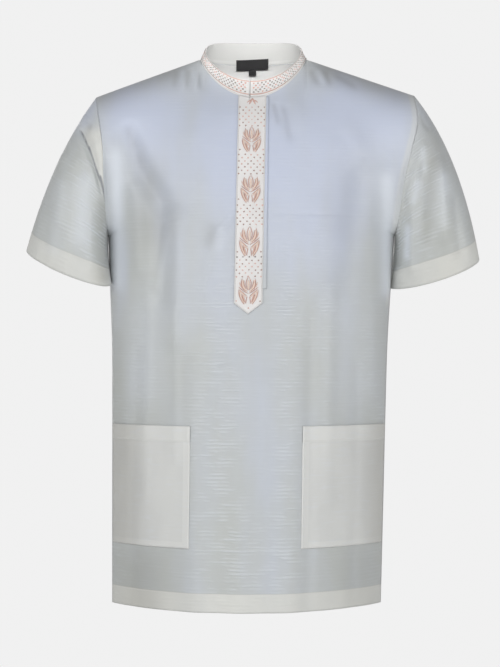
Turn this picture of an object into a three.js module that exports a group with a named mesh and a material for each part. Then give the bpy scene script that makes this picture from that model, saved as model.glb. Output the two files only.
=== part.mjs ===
// A hip-length fatua (short-sleeved shirt) as it hangs when worn, with nobody in it.
// Millimetres, +Z up, the front faces -Y, the wearer's left is +X.
// The origin lies in the middle of the neck opening.
import * as THREE from 'three';

// ---- driving sizes ----
const cloth = { wall: 1.5, turnedHem: 2.7, seamGap: 0.3, step: 1 };
const neck = {
  half: 75, sideZ: 6, frontDrop: 60, round: 0.78, frontReach: 65, backDrop: 2, backReach: 57,
  settle: 70, rimTip: 1,
};
const shoulder = { frontRound: 120, backRound: 70 };
const armhole = { depth: 197, front: 62, back: 68, lean: 1.2, rows: 10, tuck: 5 };
const hem = { z: -763, band: 26 };
const lean = { atNeck: 4, perHeight: 0.0126, neckZ: -50 };
const gridHalf = 200;
const straightTop = -360;

// Body sections from the shoulder down: half width, what the wearer's left has on top of it,
// depth of front and back at the middle, and how full the section is (0.5 is an ellipse,
// 1 a pointed lens).
const sections = [
  { z: 40, half: 225, more: 6, front: 52, back: 62, full: 0.55 },
  { z: -47, half: 221, more: 7, front: 68, back: 80, full: 0.55 },
  { z: -85, half: 214.5, more: 16.5, front: 82, back: 88, full: 0.55 },
  { z: -125, half: 208, more: 14, front: 95, back: 94, full: 0.56 },
  { z: -165, half: 206.5, more: 6.5, front: 105, back: 97, full: 0.58 },
  { z: -210, half: 203.8, more: 3.7, front: 113, back: 98, full: 0.6 },
  { z: -250, half: 202, more: 1, front: 118, back: 98, full: 0.62 },
  { z: -300, half: 200, more: 0, front: 122, back: 97, full: 0.65 },
  { z: -391, half: 195.5, more: 0, front: 126, back: 96, full: 0.7 },
  { z: -470, half: 194, more: 0, front: 129, back: 98, full: 0.74 },
  { z: -600, half: 192.5, more: 0, front: 134, back: 102, full: 0.8 },
  { z: -763, half: 190.5, more: 0, front: 139, back: 106, full: 0.86 },
];

// Soft folds of the body: a line from (x0, z0) to (x1, z1), how wide it is and how far it
// stands out (a hollow is negative).
const frontFolds = [
  { x0: -175, z0: -95, x1: -160, z1: -150, wide: 15, out: -7 },
  { x0: -160, z0: -150, x1: -118, z1: -208, wide: 15, out: -8 },
  { x0: -124, z0: -205, x1: -122, z1: -345, wide: 14, out: -6 },
  { x0: -100, z0: -215, x1: -104, z1: -400, wide: 16, out: 4 },
  { x0: 150, z0: -150, x1: 132, z1: -330, wide: 18, out: -4 },
  { x0: -70, z0: -400, x1: -72, z1: -763, wide: 20, out: 3 },
  { x0: -38, z0: -420, x1: -40, z1: -763, wide: 18, out: -3 },
  { x0: 55, z0: -390, x1: 57, z1: -763, wide: 20, out: 3 },
  { x0: 20, z0: -440, x1: 22, z1: -763, wide: 16, out: -2 },
];
const backFolds = [
  { x0: -60, z0: -190, x1: -78, z1: -620, wide: 22, out: -5 },
  { x0: 52, z0: -240, x1: 66, z1: -700, wide: 24, out: -5 },
  { x0: -8, z0: -420, x1: -6, z1: -763, wide: 24, out: 4 },
  { x0: 128, z0: -300, x1: 130, z1: -763, wide: 20, out: 3 },
  { x0: -132, z0: -360, x1: -136, z1: -763, wide: 22, out: 3 },
];

// The two sides differ a little, as worn cloth does. Each cuff is an oval: its middle, how far
// it reaches out, how much its outer end rises and its front dips, and how far its inner end
// lies back; the sleeve's crown stands out and up from the straight line to the cuff.
const sides = {
  right: {
    sign: -1, slope: 0.365, cuffX: 258, cuffZ: -288, reach: 62, rise: 25, dip: 13, back: -22,
    out: 13, up: 26,
  },
  left: {
    sign: 1, slope: 0.335, cuffX: 259, cuffZ: -296, reach: 63, rise: 19, dip: 14, back: 22,
    out: 20, up: 34,
  },
};
const sleeve = { depth: 54, band: 25, forward: 12, under: 3, sideOut: 15, sideUp: 28 };
const collarBand = { wall: 2, gap: 0.5, slit: 0.6, topHalf: 68, topFront: 52, topBack: 47 };
const collarTop = { middle: 3, swing: 32, sideLift: 16 };
const placketStrip = { wall: 1.5, half: 19.5, top: 3, foot: -341, tip: -356, drift: -3 };
const underStrip = { wall: 1, left: -11, right: 22, top: 3 };
const pocket = {
  wall: 1.4, hemWall: 2, innerRight: 0.4, outer: 0.985, top: -509, bottom: -677, band: 22,
};
const neckLabel = { wall: 1, half: 23, top: 12, bottom: -3 };
const sizeTab = { wall: 1, half: 5.3, height: 7.5 };

const colours = {
  cloth: { color: 0xbcc3cc, roughness: 0.45, metalness: 0 },
  doubled: { color: 0xcacac6, roughness: 0.6, metalness: 0 },
  trim: { color: 0xe2dcd6, roughness: 0.7, metalness: 0 },
  label: { color: 0x1b1b1d, roughness: 0.8, metalness: 0 },
};

// ---- small helpers ----
const mix = (a, b, t) => a + (b - a) * t;
const smooth = (t) => {
  const c = Math.min(Math.max(t, 0), 1);
  return c * c * (3 - 2 * c);
};

// Reads a column of a table at a height, along a cubic through its rows.
function readTable(rows, column, z) {
  const last = rows.length - 1;
  let k = rows.findIndex((row) => z >= row.z);
  if (k < 0) k = last;
  k = Math.max(k, 1);
  const upper = rows[k - 1];
  const lower = rows[k];
  const slopeAt = (i) => {
    const a = rows[Math.max(i - 1, 0)];
    const b = rows[Math.min(i + 1, last)];
    return (b[column] - a[column]) / (b.z - a.z);
  };
  const span = upper.z - lower.z;
  const t = Math.min(Math.max((z - lower.z) / span, 0), 1);
  const t2 = t * t;
  const t3 = t2 * t;
  return lower[column] * (2 * t3 - 3 * t2 + 1) + slopeAt(k) * span * (t3 - 2 * t2 + t)
    + upper[column] * (3 * t2 - 2 * t3) + slopeAt(k - 1) * span * (t3 - t2);
}

// How far all folds together push a point out: a bell across each line, eased off at its ends.
function foldPush(folds, x, z) {
  let push = 0;
  for (const fold of folds) {
    const dx = fold.x1 - fold.x0;
    const dz = fold.z1 - fold.z0;
    const length = Math.hypot(dx, dz);
    const along = ((x - fold.x0) * dx + (z - fold.z0) * dz) / length;
    const across = ((x - fold.x0) * dz - (z - fold.z0) * dx) / length;
    const ease = smooth((along + fold.wide) / (2 * fold.wide))
      * (fold.z1 === hem.z ? 1 : smooth((length + fold.wide - along) / (2 * fold.wide)));
    push += fold.out * ease * Math.exp(-((across / fold.wide) ** 2));
  }
  return push;
}

// ---- the body's surface ----
const leanAt = (z) => lean.atNeck + (z - lean.neckZ) * lean.perHeight;
const sideOf = (x) => (x < 0 ? sides.right : sides.left);
const shoulderZ = (x) => neck.sideZ - sideOf(x).slope * (Math.abs(x) - neck.half);
const halfAt = (z, u) => readTable(sections, 'half', z) + (u > 0 ? readTable(sections, 'more', z) : 0);
// Column u runs from -1 to 1. Columns near the middle keep their distance, the last one
// follows the side seam and the armhole.
const acrossAt = (u, z) => u * gridHalf + (halfAt(z, u) - gridHalf) * u ** 3;
const shoulderRow = -47;
const shoulderEnd = (side) => shoulderZ(acrossAt(side, shoulderRow));
// Armholes keep one depth below the shoulder in proportion to the panel's rows.
const armholeDepth = (side) => (
  armhole.depth * (shoulderEnd(side) - straightTop) / (shoulderEnd(-1) - straightTop));
const neckColumn = 0.3685;

function neckZ(x, isFront) {
  const round = Math.max(1 - (x / neck.half) ** 2, 0);
  return isFront ? neck.sideZ - neck.frontDrop * round ** neck.round : neck.sideZ - neck.backDrop * round;
}

const columnShoulderZ = (u) => shoulderZ(acrossAt(u, shoulderRow));

function columnTop(u, isFront) {
  const x = acrossAt(u, shoulderRow);
  return Math.abs(x) < neck.half ? neckZ(x, isFront) : shoulderZ(x);
}

// Depth of the body surface at column u and height z, before folds: the armhole's oval at
// the edge, the section's depth in the middle, both rounded over the shoulder.
function depthAt(u, z, isFront) {
  const drop = Math.max(columnShoulderZ(u) - z, 0);
  const across = Math.min(Math.abs(acrossAt(u, z)) / halfAt(z, u), 1);
  const fullness = (1 - across ** 2) ** readTable(sections, 'full', z);
  const below = Math.min(drop / armholeDepth(Math.sign(u) || 1), 1);
  const turn = 1 - 2 * below;
  const edge = (isFront ? armhole.front : armhole.back) * Math.sqrt(Math.max(1 - turn ** 2, 0));
  const roundOver = isFront ? shoulder.frontRound : shoulder.backRound;
  const rounding = Math.sqrt(1 - (1 - Math.min(drop / roundOver, 1)) ** 2);
  const middle = readTable(sections, isFront ? 'front' : 'back', z) * rounding;
  const narrowing = 1 + armhole.tuck * below ** 2;
  return middle * fullness + edge * (1 - fullness) ** narrowing;
}

// The neck edge is an oval, so the cloth below it settles from that oval into the body.
function neckCorrection(u, z, isFront) {
  const x = acrossAt(u, shoulderRow);
  if (Math.abs(x) >= neck.half) return 0;
  const top = columnTop(u, isFront);
  const oval = (isFront ? neck.frontReach : neck.backReach) * Math.sqrt(1 - (x / neck.half) ** 2);
  return (oval - depthAt(u, top, isFront)) * (1 - smooth((top - z) / neck.settle));
}

function bodyPoint(u, z, isFront) {
  const x = acrossAt(u, z);
  const depth = depthAt(u, z, isFront) + neckCorrection(u, z, isFront);
  const nearEdge = smooth((1 - Math.abs(u)) / 0.12) * smooth((columnTop(u, isFront) - z) / 40);
  const push = foldPush(isFront ? frontFolds : backFolds, x, z) * nearEdge;
  const y = Math.max(depth + push, cloth.seamGap / 2);
  return new THREE.Vector3(x + leanAt(z), isFront ? -y : y, z);
}

// ---- closed walls from grids of points ----
// grid[i][j] is the outer face; each point's inner partner lies one thickness along its
// inward direction. inward(i, j, normal) may turn that direction at a seam.
function wallFromGrid({ grid, facing, thickness, inward, ring = false, keep = () => true }) {
  const rows = grid.length;
  const cols = grid[0].length;
  const at = (i, j) => grid[i][ring ? (j + cols) % cols : j];
  const positions = [];
  const inner = [];
  for (let i = 0; i < rows; i += 1) {
    for (let j = 0; j < cols; j += 1) {
      const acrossStep = ring ? at(i, j + 1).clone().sub(at(i, j - 1))
        : at(i, Math.min(j + 1, cols - 1)).clone().sub(at(i, Math.max(j - 1, 0)));
      const upStep = at(Math.min(i + 1, rows - 1), j).clone().sub(at(Math.max(i - 1, 0), j));
      const normal = acrossStep.cross(upStep).normalize();
      if (normal.dot(facing(grid[i][j])) < 0) normal.negate();
      const direction = (inward && inward(i, j, normal)) || normal.negate();
      const outerPoint = grid[i][j];
      positions.push(outerPoint.x, outerPoint.y, outerPoint.z);
      inner.push(outerPoint.clone().addScaledVector(direction, thickness(i, j)));
    }
  }
  for (const p of inner) positions.push(p.x, p.y, p.z);
  const shift = rows * cols;
  const index = [];
  const edges = new Map();
  for (let i = 0; i < rows - 1; i += 1) {
    for (let j = 0; j < (ring ? cols : cols - 1); j += 1) {
      if (!keep(i, j)) continue;
      const next = (j + 1) % cols;
      const corners = [i * cols + j, i * cols + next, (i + 1) * cols + next, (i + 1) * cols + j];
      const [a, b, c, d] = corners;
      index.push(a, b, c, a, c, d);
      index.push(a + shift, c + shift, b + shift, a + shift, d + shift, c + shift);
      corners.forEach((from, k) => {
        const to = corners[(k + 1) % 4];
        if (edges.has(`${to} ${from}`)) edges.delete(`${to} ${from}`);
        else edges.set(`${from} ${to}`, [from, to]);
      });
    }
  }
  for (const [from, to] of edges.values()) {
    index.push(to, from, from + shift, to, from + shift, to + shift);
  }
  return closedGeometry(positions, index);
}

// A geometry of the used points only, with its faces turned outwards.
function closedGeometry(positions, index) {
  const renumber = new Map();
  const used = [];
  for (const k of index) {
    if (renumber.has(k)) continue;
    renumber.set(k, renumber.size);
    used.push(positions[3 * k], positions[3 * k + 1], positions[3 * k + 2]);
  }
  const triangles = index.map((k) => renumber.get(k));
  const corner = (k) => new THREE.Vector3().fromArray(used, 3 * triangles[k]);
  let volume = 0;
  for (let k = 0; k < triangles.length; k += 3) {
    volume += corner(k).dot(corner(k + 1).cross(corner(k + 2)));
  }
  if (volume < 0) {
    for (let k = 0; k < triangles.length; k += 3) {
      [triangles[k], triangles[k + 1]] = [triangles[k + 1], triangles[k]];
    }
  }
  const geometry = new THREE.BufferGeometry();
  geometry.setAttribute('position', new THREE.Float32BufferAttribute(used, 3));
  geometry.setIndex(triangles);
  geometry.computeVertexNormals();
  return geometry;
}

function namedMesh(name, geometry, look) {
  const mesh = new THREE.Mesh(geometry, new THREE.MeshStandardMaterial(look));
  mesh.name = name;
  return mesh;
}

// ---- rows and columns of the two body panels ----
const hemInside = [hem.z + hem.band - cloth.step, hem.z + hem.band];
const pocketRows = [pocket.bottom, -649, -621, -593, -565, pocket.top - pocket.band, pocket.top];
const straightRows = [hem.z, ...hemInside, -706, ...pocketRows, -479, -449, -419, -390, straightTop];
const risingRows = [-321, -282];
const armholeAngles = Array.from({ length: armhole.rows + 1 }, (_, k) => Math.PI * (1 - k / armhole.rows));
const edgeHeights = [
  ...risingRows,
  ...armholeAngles.map((angle) => shoulderEnd(-1) - armhole.depth * (1 - Math.cos(angle)) / 2),
];
const risingShares = edgeHeights.map((z) => (z - straightTop) / (shoulderEnd(-1) - straightTop));
const rowCount = straightRows.length + risingShares.length;
const underarmRow = straightRows.length + risingRows.length;

function rowZ(i, u, isFront) {
  if (i < straightRows.length) return straightRows[i];
  return mix(straightTop, columnTop(u, isFront), risingShares[i - straightRows.length]);
}

const mirrored = (half) => [...half.map((u) => -u).reverse(), ...half];
const slitColumn = collarBand.slit / gridHalf;
const placketColumn = placketStrip.half / gridHalf;
const neckColumns = [placketColumn, 0.184, 0.26, 0.319, 0.356, neckColumn];
const sideColumns = [
  pocket.innerRight, 0.46, 0.53, 0.61, 0.69, 0.77, 0.85, 0.92, 0.965, pocket.outer, 1];
const frontColumns = mirrored([slitColumn, ...neckColumns, ...sideColumns]);
const backHalfColumns = [...neckColumns, 0.47, 0.58, 0.69, 0.79, 0.88, 0.95, 1];
const backColumns = [...backHalfColumns.map((u) => -u).reverse(), 0, ...backHalfColumns];

// The direction a panel's edge turns its wall towards, so that two pieces never cross in a seam.
function panelInward(columns, isFront) {
  return (i, j) => {
    const u = columns[j];
    const side = Math.sign(u);
    const isEdge = Math.abs(u) === 1;
    if (isEdge && i < underarmRow) return new THREE.Vector3(-side, 0, 0);
    if (isEdge) return armholeInward(armholeAngles[i - underarmRow], side, -1, isFront);
    if (i < rowCount - 1) return null;
    if (Math.abs(u) > neckColumn) {
      return new THREE.Vector3(-side * sideOf(u).slope, 0, -1).normalize();
    }
    const rim = bodyPoint(u, rowZ(i, u, isFront), isFront);
    const flat = Math.abs(u) === neckColumn ? 0 : -rim.y;
    return new THREE.Vector3(-(rim.x - leanAt(rim.z)), flat, 0).normalize()
      .add(new THREE.Vector3(0, 0, -neck.rimTip)).normalize();
  };
}

// Into the arm's hollow at the armhole, tipped to the piece's own side of the seam below.
function armholeInward(angle, side, ownSide, isFront) {
  const reach = isFront ? armhole.front : armhole.back;
  const flatY = (isFront ? 1 : -1) * Math.sin(angle) / reach;
  const direction = new THREE.Vector3(0, flatY, -2 * Math.cos(angle) / armhole.depth).normalize();
  const tip = armhole.lean * Math.max(-Math.cos(angle), 0) ** 2;
  return direction.add(new THREE.Vector3(side * ownSide * tip, 0, 0)).normalize();
}

const outFromAxis = (p) => new THREE.Vector3(p.x * 0.4, p.y, 12);

function bodyPanel(columns, isFront) {
  const grid = Array.from({ length: rowCount }, (_, i) => (
    columns.map((u) => bodyPoint(u, rowZ(i, u, isFront), isFront))));
  const middle = columns.indexOf(-slitColumn);
  return wallFromGrid({
    grid,
    facing: outFromAxis,
    thickness: (i) => (i <= 1 ? cloth.turnedHem : cloth.wall),
    inward: panelInward(columns, isFront),
    keep: (i, j) => !isFront || j !== middle || i < straightRows.length,
  });
}

// ---- sleeves ----
// Each sleeve is a tube along curves from the armhole's rim to the cuff's rim. The angle is 0
// on top of the shoulder, half a turn under the arm; the front comes first.
function sleeveCurve(angle, { sign, cuffX, cuffZ, reach, rise, dip, back, out, up }) {
  const z = shoulderEnd(sign) - armholeDepth(sign) * (1 - Math.cos(angle)) / 2;
  const armholeReach = angle <= Math.PI ? armhole.front : armhole.back;
  const start = new THREE.Vector3(
    sign * (halfAt(z, sign) + cloth.seamGap) + leanAt(z), -armholeReach * Math.sin(angle), z);
  const end = new THREE.Vector3(
    sign * (cuffX + reach * Math.cos(angle)) + leanAt(cuffZ),
    -sleeve.depth * Math.sin(angle) - back * Math.cos(angle),
    cuffZ + rise * Math.cos(angle) - dip * Math.sin(angle));
  const top = ((1 + Math.cos(angle)) / 2) ** 2;
  const low = ((1 - Math.cos(angle)) / 2) ** 2;
  const side = Math.sin(angle) ** 2;
  const bend = start.clone().add(end).multiplyScalar(0.5).add(new THREE.Vector3(
    sign * (out * top + sleeve.sideOut * side + sleeve.under * low),
    -sleeve.forward * Math.sin(angle),
    up * top + sleeve.sideUp * side));
  return new THREE.QuadraticBezierCurve3(start, bend, end);
}

function sleeveTube(side) {
  const turns = [...armholeAngles].reverse();
  const angles = [...turns, ...turns.slice(1, -1).map((a) => Math.PI + a)];
  const curves = angles.map((angle) => sleeveCurve(angle, side));
  const upperShares = [0, 0.1, 0.22, 0.36, 0.52, 0.68, 0.84, 1];
  const grid = upperShares.map((share) => curves.map((curve) => (
    curve.getPoint(share * (1 - sleeve.band / curve.getLength())))));
  grid.push(curves.map((curve) => curve.getPoint(1 - (sleeve.band - cloth.step) / curve.getLength())));
  grid.push(curves.map((curve) => curve.getPoint(1)));
  const bandRow = upperShares.length;
  const centres = grid.map((row) => row.reduce((sum, p) => sum.add(p), new THREE.Vector3())
    .multiplyScalar(1 / angles.length));
  return wallFromGrid({
    grid,
    ring: true,
    facing: (p) => p.clone().sub(nearestPoint(centres, p)),
    thickness: (i) => (i >= bandRow ? cloth.turnedHem : cloth.wall),
    inward: (i, j) => {
      if (i > 0) return null;
      const isFront = angles[j] <= Math.PI;
      return armholeInward(isFront ? angles[j] : 2 * Math.PI - angles[j], side.sign, 1, isFront);
    },
  });
}

function nearestPoint(points, p) {
  return points.reduce((best, q) => (q.distanceTo(p) < best.distanceTo(p) ? q : best));
}

// ---- collar ----
// The band stands on the neck's rim from one side of the slit round to the other. The turn
// is -90 degrees at the front, 0 at the side and 90 at the back.
function collarPoint(base, share) {
  const x = base.x - leanAt(base.z);
  const reach = base.y < 0 ? neck.frontReach : neck.backReach;
  const turn = Math.atan2(base.y / reach, Math.abs(x) / neck.half);
  const topReach = base.y < 0 ? collarBand.topFront : collarBand.topBack;
  const top = new THREE.Vector3(
    Math.abs(x) < collarBand.slit + 0.01 ? base.x
      : Math.sign(x) * collarBand.topHalf * Math.cos(turn) + leanAt(base.z),
    topReach * Math.sin(turn),
    collarTop.middle + collarTop.swing * Math.sin(turn) + collarTop.sideLift * Math.cos(turn) ** 2);
  const foot = base.clone();
  foot.z += collarBand.gap;
  return foot.lerp(top, share);
}

function neckRim() {
  const rimOf = (columns, isFront) => columns.filter((u) => Math.abs(u) < neckColumn)
    .map((u) => bodyPoint(u, columnTop(u, isFront), isFront));
  const front = rimOf(frontColumns, true);
  const back = rimOf(backColumns, false);
  const sidePoint = (side) => {
    const p = bodyPoint(side * neckColumn, columnTop(neckColumn, true), true);
    p.y = 0;
    return p;
  };
  const half = front.length / 2;
  return [...front.slice(half), sidePoint(1), ...back.reverse(), sidePoint(-1), ...front.slice(0, half)];
}

function collarRing() {
  const rim = neckRim();
  const shares = [0, 0.25, 0.5, 0.75, 1];
  const grid = shares.map((share) => rim.map((base) => collarPoint(base, share)));
  const lastColumn = rim.length - 1;
  return wallFromGrid({
    grid,
    facing: (p) => new THREE.Vector3(p.x, p.y, 0),
    thickness: () => collarBand.wall,
    inward: (i, j, normal) => {
      if (j === 0 || j === lastColumn) return new THREE.Vector3(0, 1, 0);
      if (i > 0) return null;
      return new THREE.Vector3(-normal.x, -normal.y, 0).normalize();
    },
  });
}

// ---- what lies on the front ----
// A piece on a panel is the panel's own points moved out by the gap and the piece's wall.
function outwardAt(u, z, isFront) {
  const small = 0.004;
  const across = bodyPoint(u + small, z, isFront).sub(bodyPoint(u - small, z, isFront));
  const up = bodyPoint(u, z + 1, isFront).sub(bodyPoint(u, z - 1, isFront));
  const normal = across.cross(up).normalize();
  return normal.y < 0 === isFront ? normal : normal.negate();
}

function liedOn(u, z, lift) {
  return bodyPoint(u, z, true).addScaledVector(outwardAt(u, z, true), lift);
}

// Both strips use the panel's own rows above the slit's foot, and stop just under the neck's rim.
function stripRow(row, u, clear) {
  return row === rowCount - 1 ? columnTop(u, true) - clear : rowZ(row, u, true);
}

const stripRows = Array.from({ length: risingShares.length }, (_, k) => straightRows.length + k);

function placketPiece() {
  const lift = cloth.seamGap + underStrip.wall + cloth.seamGap + placketStrip.wall;
  const across = [-1, -0.6, -0.2, 0.2, 0.6, 1];
  const column = (side, z) => side * placketColumn
    + placketStrip.drift * Math.min(z / placketStrip.tip, 1) / gridHalf;
  const footRow = across.map((side) => {
    const z = mix(placketStrip.tip, placketStrip.foot, Math.abs(side));
    return liedOn(column(side, z), z, lift);
  });
  const upperRows = stripRows.map((row) => across.map((side) => {
    const z = stripRow(row, side * placketColumn, placketStrip.top);
    return liedOn(column(side, z), z, lift);
  }));
  return wallFromGrid({
    grid: [footRow, ...upperRows],
    facing: () => new THREE.Vector3(0, -1, 0),
    thickness: () => placketStrip.wall,
  });
}

function placketUnderPiece() {
  const lift = cloth.seamGap + underStrip.wall;
  const across = [underStrip.left, 0, underStrip.right / 2, underStrip.right];
  const grid = stripRows.map((row) => across.map((x) => {
    const u = x / gridHalf;
    return liedOn(u, stripRow(row, u, underStrip.top), lift);
  }));
  return wallFromGrid({ grid, facing: () => new THREE.Vector3(0, -1, 0), thickness: () => underStrip.wall });
}

function pocketPiece(side, innerColumn) {
  const columns = [neckColumn, ...sideColumns].filter((u) => u >= innerColumn && u <= pocket.outer)
    .map((u) => side * u);
  const bandRow = pocketRows.indexOf(pocket.top - pocket.band);
  const rows = [...pocketRows.slice(0, bandRow + 1), pocketRows[bandRow] + cloth.step, pocket.top];
  const wallAt = (i) => (i > bandRow ? pocket.hemWall : pocket.wall);
  const grid = rows.map((z, i) => columns.map((u) => liedOn(u, z, cloth.seamGap + wallAt(i))));
  return wallFromGrid({ grid, facing: outFromAxis, thickness: wallAt });
}

// ---- neck label and its small tab, hanging inside the back of the neck ----
function labelPiece({ half, top, bottom, wall }) {
  const across = [-1, -0.5, 0, 0.5, 1];
  const backFoot = neck.sideZ - neck.backDrop;
  const topHeight = collarTop.middle + collarTop.swing;
  const grid = [bottom, mix(bottom, top, 0.5), top].map((z) => across.map((side) => {
    const x = side * half;
    const foot = neck.backReach * Math.sqrt(1 - (x / neck.half) ** 2);
    const crown = collarBand.topBack * Math.sqrt(1 - (x / collarBand.topHalf) ** 2);
    const share = (z - backFoot) / (topHeight - backFoot);
    const clear = collarBand.wall + cloth.seamGap + 0.5;
    return new THREE.Vector3(x + leanAt(z), mix(foot, crown, share) - clear, z);
  }));
  return wallFromGrid({ grid, facing: () => new THREE.Vector3(0, 1, 0), thickness: () => wall });
}

const tabSize = {
  ...sizeTab, top: neckLabel.bottom - cloth.seamGap, bottom: neckLabel.bottom - sizeTab.height };

// ---- the whole shirt ----
const group = new THREE.Group();
group.add(
  namedMesh('front', bodyPanel(frontColumns, true), colours.cloth),
  namedMesh('back', bodyPanel(backColumns, false), colours.cloth),
  namedMesh('sleeve_right', sleeveTube(sides.right), colours.cloth),
  namedMesh('sleeve_left', sleeveTube(sides.left), colours.cloth),
  namedMesh('collar', collarRing(), colours.trim),
  namedMesh('placket', placketPiece(), colours.trim),
  namedMesh('placket_under', placketUnderPiece(), colours.cloth),
  namedMesh('pocket_right', pocketPiece(-1, pocket.innerRight), colours.doubled),
  namedMesh('pocket_left', pocketPiece(1, neckColumn), colours.doubled),
  namedMesh('label', labelPiece(neckLabel), colours.label),
  namedMesh('size_tab', labelPiece(tabSize), colours.label),
);

export default group;
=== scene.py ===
import math

import bpy
import numpy as np
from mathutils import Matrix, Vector


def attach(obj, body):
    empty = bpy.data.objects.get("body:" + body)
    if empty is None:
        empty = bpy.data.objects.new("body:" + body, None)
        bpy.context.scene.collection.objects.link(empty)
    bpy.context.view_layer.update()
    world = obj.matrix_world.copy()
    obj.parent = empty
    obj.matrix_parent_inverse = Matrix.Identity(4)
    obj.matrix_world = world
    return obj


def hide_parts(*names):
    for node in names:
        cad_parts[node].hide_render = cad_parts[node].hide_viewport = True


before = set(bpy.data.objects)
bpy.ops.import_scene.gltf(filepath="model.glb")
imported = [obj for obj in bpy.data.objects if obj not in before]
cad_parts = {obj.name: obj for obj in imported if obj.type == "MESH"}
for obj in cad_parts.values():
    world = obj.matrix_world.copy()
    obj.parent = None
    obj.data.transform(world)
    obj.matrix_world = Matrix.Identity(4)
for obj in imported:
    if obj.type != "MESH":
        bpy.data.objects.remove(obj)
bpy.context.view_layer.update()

# Sizes are in millimetres until a mesh is made; +Z is up, -Y the front, +X the wearer's left.
mm = 0.001

cloth = {"wall": 1.5, "singleShare": 0.5, "seamGap": 0.3, "gridHalf": 200}
neck = {"half": 75, "sideZ": 6, "frontDrop": 60, "round": 0.78, "frontReach": 65,
        "backDrop": 2, "backReach": 57, "settle": 70, "column": 0.3685}
shoulder = {"frontRound": 120, "backRound": 70, "row": -47}
armhole = {"depth": 197, "front": 62, "back": 68, "tuck": 5, "rows": 60}
hem = {"z": -763, "band": 26, "straightTop": -360}
lean = {"atNeck": 4, "perHeight": 0.0126, "neckZ": -50}

# body sections from the hem up: height, half width, what the left side has more, depths, fullness
sectionColumns = ["z", "half", "more", "front", "back", "full"]
sectionRows = np.array([
    (-763, 190.5, 0, 139, 106, 0.86), (-600, 192.5, 0, 134, 102, 0.8), (-470, 194, 0, 129, 98, 0.74),
    (-391, 195.5, 0, 126, 96, 0.7), (-300, 200, 0, 122, 97, 0.65), (-250, 202, 1, 118, 98, 0.62),
    (-210, 203.8, 3.7, 113, 98, 0.6), (-165, 206.5, 6.5, 105, 97, 0.58), (-125, 208, 14, 95, 94, 0.56),
    (-85, 214.5, 16.5, 82, 88, 0.55), (-47, 221, 7, 68, 80, 0.55), (40, 225, 6, 52, 62, 0.55)])

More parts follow.
